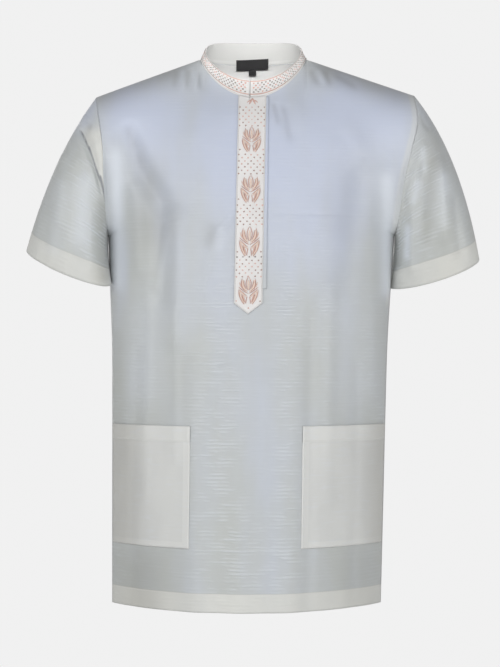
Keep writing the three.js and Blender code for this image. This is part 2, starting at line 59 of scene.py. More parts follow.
# folds: line from (x0, z0) down to (x1, z1), how wide (left and right where they differ), how far out
mainFolds = {
    "front": [
        (-175, -95, -160, -150, 15, -7), (-160, -150, -118, -208, 15, -8),
        (-124, -205, -122, -345, 14, -6), (-100, -215, -104, -400, 16, 4), (150, -150, 132, -330, 18, -4),
        (-70, -400, -72, -763, 20, 3), (-38, -420, -40, -763, 18, -3), (55, -390, 57, -763, 20, 3),
        (20, -440, 22, -763, 16, -2)],
    "back": [
        (-60, -190, -78, -620, 22, -5), (52, -240, 66, -700, 24, -5), (-8, -420, -6, -763, 24, 4),
        (128, -300, 130, -763, 20, 3), (-132, -360, -136, -763, 22, 3)],
}
creases = {
    "front": [
        (-104, -10, -106, -36, 4, 5, -2.2), (-96, -12, -98, -40, 4, 1.4), (-87, -11, -88, -39, 4, -2.6),
        (-79, -14, -80, -42, 4, 1.4), (-72, -18, -72, -40, 4, -2), (84, -12, 92, -32, 4, 5, -2.4),
        (94, -10, 101, -30, 4, 1.4), (103, -12, 109, -32, 4, 5, -2), (119, -18, 147, -36, 5, 6, -2.2),
        (31, -62, 39, -92, 3, 4, -1.8), (46, -66, 55, -114, 5, -2), (60, -52, 70, -96, 8, 1.2),
        (-22, -217, -50, -245, 5, 8, -2.2), (-50, -245, -66, -336, 7, 9, -2),
        (-116, -236, -130, -324, 7, 2), (-166, -170, -158, -300, 9, 2),
        (-88, -96, -70, -190, 14, 18, 1.4), (-141, -345, -143, -610, 9, 1.6),
        (-103, -330, -100, -560, 8, 1.3), (112, -320, 110, -620, 9, 1.5), (84, -350, 84, -763, 9, -1.4),
        (-12, -400, -12, -763, 10, 1.2), (150, -420, 148, -763, 8, -1.6),
        (-157, -400, -160, -763, 8, -1.7), (172, -250, 176, -480, 9, 1.6),
        (28, -217, 196, -219, 2.5, -0.7), (96, -176, 78, -236, 16, 14, -1.6),
        (128, -90, 168, -150, 10, 16, 1.8), (-26, -262, -34, -372, 8, 1.2), (36, -250, 44, -352, 9, -1.2)],
    "back": [
        (-96, -10, -100, -42, 4, 5, -2.2), (-84, -14, -86, -46, 4, 1.3), (80, -10, 84, -38, 4, -2),
        (102, -14, 110, -44, 5, -2.2), (-20, -30, -24, -120, 9, -1.8), (16, -40, 22, -150, 9, -1.5),
        (-170, -120, -110, -230, 12, 14, -3), (168, -110, 118, -240, 12, 14, -3.4),
        (-150, -200, -120, -330, 9, 10, 2), (146, -210, 126, -350, 9, 10, 2),
        (-112, -300, -116, -620, 9, 1.6), (98, -320, 100, -600, 9, 1.6), (-34, -300, -40, -560, 10, 1.6),
        (30, -330, 34, -763, 9, -1.6), (160, -400, 162, -763, 8, -1.8), (-162, -380, -166, -763, 8, -1.6)],
    "sleeveRight": [
        (-240, -96, -214, -156, 3, 10, -6), (-214, -156, -203, -190, 3, 8, -6),
        (-246, -84, -222, -92, 4, -2), (-236, -74, -226, -84, 3, 1.4), (-262, -130, -268, -230, 9, 1.8),
        (-236, -150, -238, -280, 9, -1.8), (-284, -190, -292, -290, 8, -1.4),
        (-222, -210, -222, -296, 6, 1.4)],
    "sleeveLeft": [
        (242, -118, 219, -198, 7, 2.6), (265, -140, 270, -255, 8, 3.2), (243, -145, 237, -228, 7, -3.6),
        (214, -188, 206, -290, 6, 7, -2), (286, -190, 294, -280, 8, -2.6), (228, -215, 226, -296, 6, 2.3),
        (236, -78, 250, -96, 4, -1.8)],
    "sleeveBack": [
        (-236, -100, -216, -190, 5, 10, -3.4), (-262, -130, -266, -240, 9, 2),
        (-288, -200, -292, -290, 8, -1.6), (236, -100, 216, -190, 8, 6, -3.4),
        (262, -130, 266, -240, 9, 2), (286, -190, 294, -285, 8, -1.8)],
}

# soft patches: middle (x, z), reach (x, z), amount; they steer the painted sheen, which turns the cloth
# bluish, and the slubs
bluePatches = {
    "front": [
        (20, -120, 180, 110, 0.8), (30, -250, 100, 90, 0.2), (22, -560, 90, 240, 0.2),
        (140, -235, 60, 80, 0.25), (-60, -340, 60, 60, 0.2), (-165, -70, 60, 50, 0.5),
        (165, -70, 60, 50, 0.55), (-178, -285, 13, 60, 0.35)],
    "back": [(0, -150, 170, 150, 0.8), (0, -480, 90, 260, 0.3)],
    "sleeve": [(-230, -70, 30, 40, 0.5), (232, -80, 30, 40, 0.3), (260, -170, 40, 80, 0.15)],
}
# painted light and shade, given as folds: above zero a painted highlight lightens the cloth's colour, below
# zero painted shade darkens it
satinLines = {
    "front": [
        (-172, -95, -160, -122, 6, 7, -0.3), (-160, -122, -151, -150, 9, 12, -0.32),
        (-151, -150, -138, -200, 18, 24, -0.4), (-138, -205, -130, -262, 26, 32, -0.42),
        (152, -90, 128, -250, 32, -0.16), (-187, -125, -185, -225, 13, 10, 0.7),
        (-190, -225, -190, -320, 9, 12, 0.75), (190, -160, 194, -330, 10, 12, 0.7),
        (-96, -4, -224, -52, 24, -0.55), (92, -2, 228, -48, 24, -0.68), (22, -321, 42, -321, 1.6, -0.14),
        (-104, -12, -106, -34, 4, 5, -0.22), (-95, -12, -97, -38, 4, 0.3), (-87, -12, -88, -37, 4, -0.26),
        (-79, -14, -80, -40, 4, 0.3), (-71, -18, -71, -38, 4, -0.2), (84, -12, 92, -32, 4, 5, -0.2),
        (95, -12, 102, -32, 4, 0.2), (105, -12, 111, -32, 4, 5, -0.2), (119, -18, 147, -36, 6, 7, -0.2),
        (-47, -232, -57, -262, 12, 8, -0.34), (-38, -236, -44, -270, 6, 0.25),
        (31, -62, 39, -92, 4, 5, -0.2), (46, -66, 55, -114, 6, -0.2),
        (100, -172, 118, -250, 14, 20, -0.12), (-150, -680, -155, -763, 40, -0.42),
        (158, -680, 160, -763, 34, 30, -0.2), (-183, -380, -183, -640, 14, 10, -0.12),
        (150, -330, 158, -480, 40, 26, 0.3), (-150, -330, -150, -480, 26, 34, 0.3)],
    "back": [
        (-165, -120, -120, -230, 14, 18, -0.3), (168, -110, 118, -240, 14, 18, -0.3),
        (-60, -190, -78, -620, 22, -0.14), (52, -240, 66, -700, 24, -0.12),
        (-150, -200, -126, -330, 10, 12, 0.3), (146, -210, 126, -350, 10, 12, 0.3)],
    "sleeve": [
        (-205, -196, -205, -292, 9, 8, -0.35), (-216, -306, -194, -298, 15, 13, -0.55),
        (-232, -80, -224, -98, 5, -0.3), (-228, -160, -236, -260, 14, 0.4),
        (-262, -170, -276, -270, 14, 0.25), (240, -121, 243, -158, 5, 0.4),
        (234, -169, 227, -202, 5, 0.45), (221, -230, 220, -278, 6, 0.6), (269, -158, 269, -235, 9, 0.4),
        (252, -137, 245, -257, 8, -0.3), (214, -193, 209, -218, 4, -0.15),
        (240, -78, 258, -119, 14, -0.35), (258, -119, 266, -158, 12, 9, -0.3),
        (-252, -78, -230, -92, 9, 0.35), (262, -110, 280, -330, 36, -0.22)],
}
slubPatches = {
    "front": [
        (-43, -520, 32, 190, 1.1), (53, -490, 17, 190, 1.2), (10, -520, 16, 150, -0.4),
        (105, -430, 11, 120, 0.6), (-151, -430, 16, 80, 0.4), (7, -690, 55, 60, 0.9),
        (58, -350, 26, 34, 1.1), (110, -350, 12, 40, 0.7), (-40, -350, 24, 30, 0.6),
        (-182, -600, 12, 130, 0.7), (184, -600, 12, 130, 0.7), (165, -420, 14, 80, 0.5)],
    "back": [(-40, -520, 50, 210, 0.9), (60, -480, 40, 200, 0.9), (0, -690, 90, 60, 0.8)],
    "sleeve": [
        (-214, -240, 20, 70, 1.2), (-250, -200, 40, 80, 0.4), (216, -230, 26, 60, 1),
        (244, -150, 30, 60, 0.6), (270, -240, 30, 60, 0.4)],
}


# t*t*(3-2t) with t held between 0 and 1
def smooth(t):
    t = np.clip(t, 0, 1)
    return t * t * (3 - 2 * t)


def oval(share):  # the square root of 1 - share squared, and 0 outside
    return np.sqrt(np.maximum(1 - share ** 2, 0))


def together(*parts):
    return np.stack(np.broadcast_arrays(*parts), -1)


def floats(*parts):
    return np.broadcast_arrays(*(np.asarray(part, float) for part in parts))


def unit(v):
    return v / np.maximum(np.linalg.norm(v, axis=-1, keepdims=True), 1e-9)


def lengthAlong(path):  # from the first point to each point of a path
    return np.r_[0, np.cumsum(np.linalg.norm(np.diff(path, axis=0), axis=-1))]


# cubic through the rows of a table; the slope at a row is its neighbours' difference over their distance
def readSection(column, z):
    heights = sectionRows[:, 0]
    values = sectionRows[:, sectionColumns.index(column)]
    last = len(heights) - 1
    before = np.maximum(np.arange(last + 1) - 1, 0)
    after = np.minimum(np.arange(last + 1) + 1, last)
    slope = (values[after] - values[before]) / (heights[after] - heights[before])
    k = np.clip(np.searchsorted(heights, z, side="right") - 1, 0, last - 1)
    span = heights[k + 1] - heights[k]
    t = np.clip((z - heights[k]) / span, 0, 1)
    return (values[k] * (2 * t ** 3 - 3 * t ** 2 + 1) + slope[k] * span * (t ** 3 - 2 * t ** 2 + t)
            + values[k + 1] * (3 * t ** 2 - 2 * t ** 3) + slope[k + 1] * span * (t ** 3 - t ** 2))


# sum over folds of: height times a bell across the fold's line, eased off past both ends
def foldPush(folds, x, z):
    push = np.zeros(np.broadcast(x, z).shape)
    for x0, z0, x1, z1, *wide, out in folds:
        dx, dz = x1 - x0, z1 - z0
        length = math.hypot(dx, dz)
        along = ((x - x0) * dx + (z - z0) * dz) / length
        across = ((x - x0) * dz - (z - z0) * dx) / length
        soft = max(wide)
        ease = smooth((along + soft) / (2 * soft))
        if z1 != hem["z"]:
            ease = ease * smooth((length + soft - along) / (2 * soft))
        push += out * ease * np.exp(-(across / np.where(across < 0, wide[-1], wide[0])) ** 2)
    return push


# sum over patches of: amount times exp(-(dx/reach)^2 - (dz/reach)^2)
def patches(rows, x, z):
    total = np.zeros(np.broadcast(x, z).shape)
    for x0, z0, reachX, reachZ, amount in rows:
        total += amount * np.exp(-((x - x0) / reachX) ** 2 - ((z - z0) / reachZ) ** 2)
    return total


# ---- the body's surface, the same as the solid's ----
sides = {
    "right": {"sign": -1, "slope": 0.365, "cuffX": 258, "cuffZ": -288, "reach": 62, "rise": 25,
              "dip": 13, "back": -22, "out": 13, "up": 26},
    "left": {"sign": 1, "slope": 0.335, "cuffX": 259, "cuffZ": -296, "reach": 63, "rise": 19,
             "dip": 14, "back": 22, "out": 20, "up": 34},
}


def leanAt(z):  # the whole shirt leans a little: 4 mm at the neck, 0.0126 mm less for each mm down
    return lean["atNeck"] + (z - lean["neckZ"]) * lean["perHeight"]


def shoulderZ(x):  # a straight slope down from the neck's side
    slope = np.where(x < 0, sides["right"]["slope"], sides["left"]["slope"])
    return neck["sideZ"] - slope * (np.abs(x) - neck["half"])


def halfAt(z, u):  # the section's half width, and on the left what that side has more
    return readSection("half", z) + np.where(u > 0, readSection("more", z), 0)


def acrossAt(u, z):  # 200u near the middle, and at u = 1 the section's half width
    return u * cloth["gridHalf"] + (halfAt(z, u) - cloth["gridHalf"]) * u ** 3


def shoulderEnd(side):  # height of the shoulder's slope at the panel's edge
    return shoulderZ(acrossAt(side, shoulder["row"]))


def armholeDepth(side):  # the right one's, in proportion to the shoulder's height over the straight part
    top = hem["straightTop"]
    return armhole["depth"] * (shoulderEnd(side) - top) / (shoulderEnd(-1) - top)


def columnTop(u, isFront):  # the neck's curve, then the shoulder's slope
    x = acrossAt(u, shoulder["row"])
    circle = np.maximum(1 - (x / neck["half"]) ** 2, 0)
    drop = neck["frontDrop"] * circle ** neck["round"] if isFront else neck["backDrop"] * circle
    return np.where(np.abs(x) < neck["half"], neck["sideZ"] - drop, shoulderZ(x))


# the section's depth in the middle and the armhole's oval at the edge, both rounded over the shoulder
def depthAt(u, z, isFront):
    drop = np.maximum(shoulderZ(acrossAt(u, shoulder["row"])) - z, 0)
    across = np.minimum(np.abs(acrossAt(u, z)) / halfAt(z, u), 1)
    fullness = (1 - across ** 2) ** readSection("full", z)
    below = np.minimum(drop / armholeDepth(np.where(u < 0, -1.0, 1.0)), 1)
    reach = armhole["front"] if isFront else armhole["back"]
    edge = reach * oval(1 - 2 * below)
    roundOver = shoulder["frontRound"] if isFront else shoulder["backRound"]
    rounding = oval(1 - np.minimum(drop / roundOver, 1))
    middle = readSection("front" if isFront else "back", z) * rounding
    return middle * fullness + edge * (1 - fullness) ** (1 + armhole["tuck"] * below ** 2)


# the neck's edge is an oval, and the cloth below it settles from that oval into the body
def neckCorrection(u, z, isFront):
    x = acrossAt(u, shoulder["row"])
    top = columnTop(u, isFront)
    reach = neck["frontReach"] if isFront else neck["backReach"]
    rim = reach * oval(x / neck["half"])
    settled = (rim - depthAt(u, top, isFront)) * (1 - smooth((top - z) / neck["settle"]))
    return np.where(np.abs(x) < neck["half"], settled, 0)


# folds fade towards the panel's sides (share of the half) and towards its top (mm)
fades = {"folds": (0.12, 40), "creases": (0.05, 9)}
probe = {"across": 0.004, "up": 1}


# point (x + lean, -depth or +depth, z), with main folds and creases added to the depth
def bodyPoint(u, z, isFront):
    u, z = floats(u, z)
    face = "front" if isFront else "back"
    x = acrossAt(u, z)
    below = columnTop(u, isFront) - z
    push = 0
    for table, (side, top) in ((mainFolds, fades["folds"]), (creases, fades["creases"])):
        push = push + foldPush(table[face], x, z) * smooth((1 - np.abs(u)) / side) * smooth(below / top)
    depth = depthAt(u, z, isFront) + neckCorrection(u, z, isFront) + push
    y = np.maximum(depth, cloth["seamGap"] / 2)
    return np.stack([x + leanAt(z), -y if isFront else y, z], -1)


# outward direction: cross product of a small step across and a small step up
def bodyNormal(u, z, isFront):
    across, up = probe["across"], probe["up"]
    stepAcross = bodyPoint(u + across, z, isFront) - bodyPoint(u - across, z, isFront)
    stepUp = bodyPoint(u, z + up, isFront) - bodyPoint(u, z - up, isFront)
    normal = unit(np.cross(stepAcross, stepUp))
    return normal if isFront else -normal


# the front's own point moved out by lift
def liedOn(u, z, lift):
    u, z, lift = floats(u, z, lift)
    return bodyPoint(u, z, True) + bodyNormal(u, z, True) * lift[..., None]


# ---- meshes ----
def gridCorners(rows, cols):  # rows and columns of the four corners of each quad
    i, j = (a.ravel() for a in np.meshgrid(np.arange(rows), np.arange(cols), indexing="ij"))
    return np.array([(i, j), (i, j + 1), (i + 1, j + 1), (i + 1, j)])


# above zero for a quad whose cross product agrees with the outward direction at its first corner
def facing(points, quads, outward):
    a, b, c, d = points.reshape(-1, 3)[quads].transpose(1, 0, 2)
    out = np.broadcast_to(outward, points.shape).reshape(-1, 3)[quads[:, 0]]
    return (np.cross(c - a, d - b) * out).sum(-1)


# quads between neighbouring points of a grid, turned so that they agree with the outward directions
def gridMesh(name, points, outward, uv=None, ring=False, keep=None, values=None):
    rows, cols = points.shape[:2]
    corners = gridCorners(rows - 1, cols if ring else cols - 1)
    if keep is not None:
        corners = corners[:, :, keep.ravel()]
    quads = (corners[:, 0] * cols + corners[:, 1] % cols).T
    if facing(points, quads, outward).sum() < 0:
        quads, corners = quads[:, ::-1], corners[::-1]
    loops = None if uv is None else uv[corners[:, 0], corners[:, 1]].swapaxes(0, 1)
    return meshFrom(name, points, quads, loops, values)


# many small grids (count, rows, cols, 3) as one mesh
def joinedGrids(name, points, uv, shade, outward=(0, -1, 0)):
    count, rows, cols = points.shape[:3]
    corners = gridCorners(rows - 1, cols - 1)
    quad = (corners[:, 0] * cols + corners[:, 1]).T
    quads = (np.arange(count)[:, None, None] * rows * cols + quad).reshape(-1, 4)
    wrong = facing(points, quads, outward) < 0
    quads[wrong] = quads[wrong][:, ::-1]
    return meshFrom(name, points, quads, uv.reshape(-1, 2)[quads], {"shade": shade})


def meshFrom(name, points, quads, uv, values):
    mesh = bpy.data.meshes.new(name)
    mesh.vertices.add(points.size // 3)
    mesh.vertices.foreach_set("co", (points * mm).ravel())
    mesh.loops.add(quads.size)
    mesh.loops.foreach_set("vertex_index", quads.ravel().astype(np.int32))
    mesh.polygons.add(len(quads))
    mesh.polygons.foreach_set("loop_start", np.arange(len(quads), dtype=np.int32) * 4)
    mesh.polygons.foreach_set("use_smooth", np.ones(len(quads), bool))
    mesh.update(calc_edges=True)
    mesh.validate()
    if uv is not None:
        mesh.uv_layers.new(name="cloth").data.foreach_set("uv", (uv * mm).ravel())
    for key, value in (values or {}).items():
        spread = np.broadcast_to(value, points.shape[:-1])
        mesh.attributes.new(key, "FLOAT", "POINT").data.foreach_set("value", spread.ravel())
    return mesh


def placed(name, data, place=(0, 0, 0), turn=(0, 0, 0)):
    thing = bpy.data.objects.new(name, data)
    thing.location = place
    thing.rotation_euler = turn
    bpy.context.scene.collection.objects.link(thing)
    return thing


# a sheet gets its wall inwards from the outer face; a second material is for its inner face
def addPiece(mesh, slot, *materials, wall=0, thick=None, node=None):
    piece = placed(mesh.name, mesh)
    for material in materials:
        mesh.materials.append(material)
    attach(piece, "root")
    if wall:
        solid = piece.modifiers.new("wall", "SOLIDIFY")
        solid.thickness = wall * mm
        solid.offset = -1
        solid.material_offset = len(materials) - 1
        if thick is not None:
            thickShares(piece, solid, thick)
    if node:
        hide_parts(node)
    return piece


def thickShares(piece, solid, thick):  # each point's share of the wall
    group = piece.vertex_groups.new(name="thick")
    for share in np.unique(thick):
        group.add(np.flatnonzero(thick.ravel() == share).tolist(), float(share), "REPLACE")
    solid.vertex_group = "thick"


# normals of a grid from the differences of its neighbours
def gridNormals(points, ring=False):
    if ring:
        across = np.roll(points, -1, 1) - np.roll(points, 1, 1)
    else:
        across = np.gradient(points, axis=1)
    return unit(np.cross(across, np.gradient(points, axis=0)))


# ---- materials ----
# among these colours, the first three on the next line are a painted highlight, painted shade (it also
# darkens the doubled edge's seam line) and a fold's painted shadow; the chest's bluish colour is painted
# sheen and the slit's colour a painted shadow
finish = {
    "paintedHighlight": (0.69, 0.73, 0.79), "seamLineAndPaintedShade": (0.62, 0.6, 0.56), "crease": (0.2, 0.21, 0.23),
    "sideGrey": (0.492, 0.51, 0.495), "paintedSheenColour": (0.54, 0.585, 0.705), "slubLight": (0.66, 0.69, 0.73),
    "offWhite": (0.672, 0.675, 0.642), "offWhiteShade": (0.625, 0.63, 0.605),
    "inside": (0.9, 0.895, 0.88), "insideShade": (0.87, 0.87, 0.855),
    "pocket": (0.65, 0.657, 0.64), "pocketShade": (0.61, 0.617, 0.605), "pocketTurned": (0.7, 0.705, 0.685),
    "trim": (0.77, 0.755, 0.745), "trimShade": (0.71, 0.695, 0.685), "slit": (0.16, 0.13, 0.13),
    "lining": (0.57, 0.57, 0.555), "liningShade": (0.55, 0.55, 0.535),
    "threadTan": (0.75, 0.58, 0.48), "threadPink": (0.64, 0.39, 0.33),
    "threadCoral": (0.58, 0.28, 0.21), "threadBrown": (0.2, 0.165, 0.14),
    "sewing": (0.66, 0.66, 0.64), "sewingShade": (0.62, 0.62, 0.6),
    "label": (0.013, 0.013, 0.014), "labelShade": (0.02, 0.019, 0.02),
    "floor": (0.86, 0.86, 0.86), "floorShade": (0.84, 0.84, 0.838),
}


class Nodes:
    # a material's tree with short ways to add a node and link it
    def __init__(self, name):
        self.material = bpy.data.materials.new(name)
        self.material.use_nodes = True
        self.tree = self.material.node_tree
        self.shader = self.tree.nodes["Principled BSDF"]

    def add(self, kind, inputs=None, **settings):
        node = self.tree.nodes.new(kind)
        for key, value in settings.items():
            setattr(node, key, value)
        for key, value in (inputs or {}).items():
            self.feed(node.inputs[key], value)
        return node

    def feed(self, socket, value):
        if isinstance(value, bpy.types.NodeSocket):
            self.tree.links.new(value, socket)
        else:
            socket.default_value = value

    def math(self, operation, a, b=0.0):
        return self.add("ShaderNodeMath", {0: a, 1: b}, operation=operation).outputs[0]

    def mix(self, share, a, b, blend="MIX"):
        node = self.add("ShaderNodeMix", {0: share}, data_type="RGBA", blend_type=blend)
        for socket, value in ((node.inputs[6], a), (node.inputs[7], b)):
            self.feed(socket, (*value, 1) if isinstance(value, tuple) else value)
        return node.outputs[2]

    # lays another colour over this one, as far as share times strength
    def over(self, color, share, strength, other, blend="MIX"):
        return self.mix(self.math("MULTIPLY", share, strength), color, other, blend)

    def clothUv(self):
        return self.add("ShaderNodeUVMap", uv_map="cloth").outputs[0]

    def value(self, name):  # a float attribute of the mesh
        return self.add("ShaderNodeAttribute", attribute_name=name).outputs["Fac"]

    def ranged(self, value, low, high, outLow=0.0, outHigh=1.0):
        keys = {"Value": value, "From Min": low, "From Max": high, "To Min": outLow, "To Max": outHigh}
        return self.add("ShaderNodeMapRange", keys, interpolation_type="SMOOTHSTEP").outputs[0]

    def scaled(self, vector, scale, offset=(0, 0, 0)):
        keys = {"Vector": vector, "Scale": scale, "Location": offset}
        return self.add("ShaderNodeMapping", keys).outputs[0]

    def noise(self, vector, detail=2.0):
        keys = {"Vector": vector, "Scale": 1.0, "Detail": detail, "Roughness": 0.5}
        return self.add("ShaderNodeTexNoise", keys).outputs[0]

    def wave(self, vector, period, direction="X", distortion=0.0):  # period in mm
        keys = {"Vector": vector, "Scale": math.pi / 10 / (period * mm), "Distortion": distortion,
                "Detail": 1.0}
        return self.add("ShaderNodeTexWave", keys, bands_direction=direction).outputs["Fac"]

    # crossed threads: the larger of a warp wave and a weft wave
    def threads(self, uv, thread):
        return self.math("MAXIMUM", self.wave(uv, thread, "X"), self.wave(uv, thread * 1.15, "Y"))

    def bump(self, height, strength, distance, normal=None):
        keys = {"Height": height, "Strength": strength, "Distance": distance * mm}
        node = self.add("ShaderNodeBump", keys)
        if normal is not None:
            self.feed(node.inputs["Normal"], normal)
        return node.outputs[0]

    def finish(self, color, roughness, normal, sheen=0.0, sheenRoughness=0.5, specular=0.4):
        inputs = {"Base Color": color, "Roughness": roughness, "Normal": normal, "Sheen Weight": sheen,
                  "Sheen Roughness": sheenRoughness, "Specular IOR Level": specular}
        for key, value in inputs.items():
            self.feed(self.shader.inputs[key], value)
        return self.material


weave = {"thread": 0.55, "bump": 0.12, "slubLong": 30, "slubHigh": 12, "ribPitch": 5.2, "ribWander": 0.8,
         "ribLight": 0.42, "ribBump": 0.55, "tintNoise": 0.75, "seamNear": 1.4, "creaseNear": 2.4,
         "edgeSoft": 0.6, "allowanceSoft": 2.5, "streakBump": 0.22, "strand": 0.45}
# stretch of the noises across and along the cloth
grain = {"broad": (1 / 0.05, 1 / 0.19, 1), "fine": (1 / 0.06, 1 / 0.0016, 1), "plain": (18, 9, 1),
         "pocket": (16, 8, 1), "streaks": (36, 230, 1)}


# silky cloth: grey-green turned bluish by the painted sheen value, ribs along the weft inside soft islands,
# off-white where it lies double, a little darker on the doubled edge's seam line, painted highlights and
# painted shade from the painted light value, and a painted shadow along a fold line
def silkMaterial():
    n = Nodes("shot_silk_cotton")
    uv = n.clothUv()
    broad = n.noise(n.scaled(uv, grain["broad"], (3, 7, 0)))
    longWay, highWay = 1 / (weave["slubLong"] * mm), 1 / (weave["slubHigh"] * mm)
    islands = n.ranged(n.noise(n.scaled(uv, (longWay, highWay, 1))), 0.42, 0.64)
    ribs = n.wave(uv, weave["ribPitch"], "Y", distortion=weave["ribWander"])
    ribs = n.math("MULTIPLY", n.math("MULTIPLY", ribs, islands), n.value("slub"))
    fine = n.noise(n.scaled(uv, grain["fine"]), detail=1.5)
    # painted sheen: the satin's sheen is painted into the colour as a bluish tinge, strongest over the
    # chest and middle, grey-green towards the sides; the broad noise added to it is the cloth's own uneven
    # tone
    wander = n.math("MULTIPLY", n.math("SUBTRACT", broad, 0.5), weave["tintNoise"])
    sheenAndTone = n.math("ADD", n.value("blue"), wander)
    color = n.mix(n.ranged(sheenAndTone, 0.0, 1.0), finish["sideGrey"], finish["paintedSheenColour"])
    color = n.over(color, ribs, weave["ribLight"], finish["slubLight"])
    color = n.over(color, n.ranged(fine, 0.45, 0.75), 0.1, finish["slubLight"])
    soft = n.mix(n.ranged(broad, 0.3, 0.7), finish["offWhite"], finish["offWhiteShade"])
    wide = weave["allowanceSoft"]
    color = n.over(color, n.ranged(n.value("allowance"), wide, -wide), 0.9, soft)
    doubled = n.ranged(n.value("doubled"), weave["edgeSoft"], -weave["edgeSoft"])
    color = n.over(color, doubled, 0.94, soft)
    nearSeam = n.ranged(n.math("ABSOLUTE", n.value("doubled")), 0.0, weave["seamNear"], 1.0, 0.0)
    color = n.over(color, nearSeam, 0.2, finish["seamLineAndPaintedShade"], "MULTIPLY")
    # painted highlight: the colour turns lighter where the painted light value is above zero
    color = n.mix(n.math("MAXIMUM", n.value("satin"), 0.0), color, finish["paintedHighlight"])
    # painted shade: the colour turns darker where the painted light value is below zero
    paintedShade = n.math("MAXIMUM", n.math("MULTIPLY", n.value("satin"), -1.0), 0.0)
    color = n.mix(paintedShade, color, finish["seamLineAndPaintedShade"], "MULTIPLY")
    # painted shadow: a dark line along the sleeve's fold, read from the distance value
    crease = n.ranged(n.value("crease"), 0.0, weave["creaseNear"], 1.0, 0.0)
    color = n.over(color, crease, 0.9, finish["crease"])
    groove = n.bump(nearSeam, -0.5, 0.8, n.bump(ribs, weave["ribBump"], 0.9))
    threads = n.bump(n.threads(uv, weave["thread"]), weave["bump"], 0.12, groove)
    rough = n.ranged(doubled, 0.0, 1.0, 0.42, 0.62)
    return n.finish(color, rough, threads, sheen=0.25, sheenRoughness=0.35, specular=0.35)


# pocket cloth: off-white, lighter where its turnings double it, with faint slubs and painted shade towards
# its outer side
def pocketMaterial():
    n = Nodes("pocket_off_white")
    uv = n.clothUv()
    broad = n.noise(n.scaled(uv, grain["pocket"], (2, 1, 0)), detail=2.5)
    streaks = n.noise(n.scaled(uv, grain["streaks"]), detail=1.5)
    color = n.mix(n.ranged(broad, 0.3, 0.7), finish["pocket"], finish["pocketShade"])
    turning = n.ranged(n.value("doubled"), weave["edgeSoft"], -weave["edgeSoft"])
    color = n.over(color, turning, 0.5, finish["pocketTurned"])
    color = n.over(color, n.ranged(streaks, 0.52, 0.72), weave["streakBump"], finish["slubLight"])
    # painted shade: the colour darkens towards the pocket's outer side, by the outer value
    color = n.over(color, n.value("outer"), 0.5, finish["seamLineAndPaintedShade"], "MULTIPLY")
    lines = n.bump(streaks, weave["streakBump"], 0.9)
    return n.finish(color, 0.56, n.bump(n.threads(uv, weave["thread"]), 0.14, 0.12, lines), sheen=0.2,
                    specular=0.3)


# matte cloth in one colour with a slow change of tone and a fine weave, and a painted shadow where the dark
# value marks a slit
def plainMaterial(name, key, thread=0.55, roughness=0.66):
    n = Nodes(name)
    broad = n.noise(n.scaled(n.clothUv(), grain["plain"], (1, 5, 0)), detail=3.0)
    color = n.mix(n.ranged(broad, 0.32, 0.68), finish[key], finish[key + "Shade"])
    # painted shadow of a slit, by the dark value
    color = n.over(color, n.value("dark"), 0.8, finish["slit"])
    threads = n.bump(n.threads(n.clothUv(), thread), 0.16, 0.14)
    return n.finish(color, roughness, threads, sheen=0.1, specular=0.3)


# stranded thread: colour from tan over pink and coral to brown by the shade value, with fine strands
def threadMaterial():
    n = Nodes("embroidery_thread")
    shade = n.value("shade")
    color = n.mix(n.ranged(shade, 0.0, 0.34), finish["threadTan"], finish["threadPink"])
    color = n.mix(n.ranged(shade, 0.36, 0.66), color, finish["threadCoral"])
    color = n.mix(n.ranged(shade, 0.7, 1.0), color, finish["threadBrown"])
    turned = n.add("ShaderNodeVectorRotate", {"Vector": n.clothUv(), "Angle": 0.6}).outputs[0]
    strands = n.wave(turned, weave["strand"])
    color = n.over(color, strands, 0.3, finish["trim"])
    return n.finish(color, 0.55, n.bump(strands, 0.4, 0.2), sheen=0.2, specular=0.4)


silk = silkMaterial()
insideCloth = plainMaterial("silk_cotton_reverse", "inside", roughness=0.7)
pocketCloth = pocketMaterial()
trimCloth = plainMaterial("trim_cotton", "trim", thread=0.5)
liningCloth = plainMaterial("collar_lining", "lining", thread=0.45)
labelTape = plainMaterial("woven_black_tape", "label", thread=0.35)
embroideryThread = threadMaterial()
sewingThread = plainMaterial("sewing_thread", "sewing", thread=0.3)
print("materials made")

# ---- front and back ----
panel = {"columns": 91, "hemRows": 9, "lowRows": 88, "chestRows": 30, "slit": 0.6, "slitFoot": -321.8,
         "allowance": {"front": (-9, 6), "back": (6, 6)}, "sideSeam": 95, "sideTurn": 0.4, "upTurn": 12}


# heights of the rows: straight below z = -360, then shares of the way up to the neck and shoulder
def panelHeights(u, isFront):
    low = hem["z"] + hem["band"]
    straight = np.r_[np.linspace(hem["z"], low - 1, panel["hemRows"]),
                     np.linspace(low, hem["straightTop"], panel["lowRows"])]
    top = shoulderEnd(-1.0)
    angles = np.linspace(np.pi, 0, armhole["rows"] + 1)
    rising = top - armhole["depth"] * (1 - np.cos(angles)) / 2
    chest = np.linspace(hem["straightTop"], rising[0], panel["chestRows"])[1:-1]
    shares = (np.r_[chest, rising] - hem["straightTop"]) / (top - hem["straightTop"])
    upper = hem["straightTop"] + shares[:, None] * (columnTop(u, isFront) - hem["straightTop"])
    return np.concatenate([np.repeat(straight[:, None], len(u), 1), upper])


# distance to the seam allowance along the armhole: zero on it
def allowanceDistance(u, z, isFront):
    right, left = panel["allowance"]["front" if isFront else "back"]
    underarm = shoulderEnd(-1.0) - armhole["depth"]
    fromEdge = (1 - np.abs(u)) * halfAt(z, u)
    low = underarm - np.where(isFront & (u > 0), panel["sideSeam"], 0)
    return np.maximum(np.maximum(fromEdge - np.where(u < 0, right, left), (low - z) / 4), 0)


far = 99  # a distance at which a seam or a crease has no effect


# the values that the silk reads, with the same ones for a piece that has none of its own
def clothValues(x, z, **own):
    values = {"blue": 0.16, "slub": 0.12, "satin": 0, "doubled": far, "allowance": far, "crease": far}
    return {key: own.get(key, value) + 0 * (x + z) for key, value in values.items()}


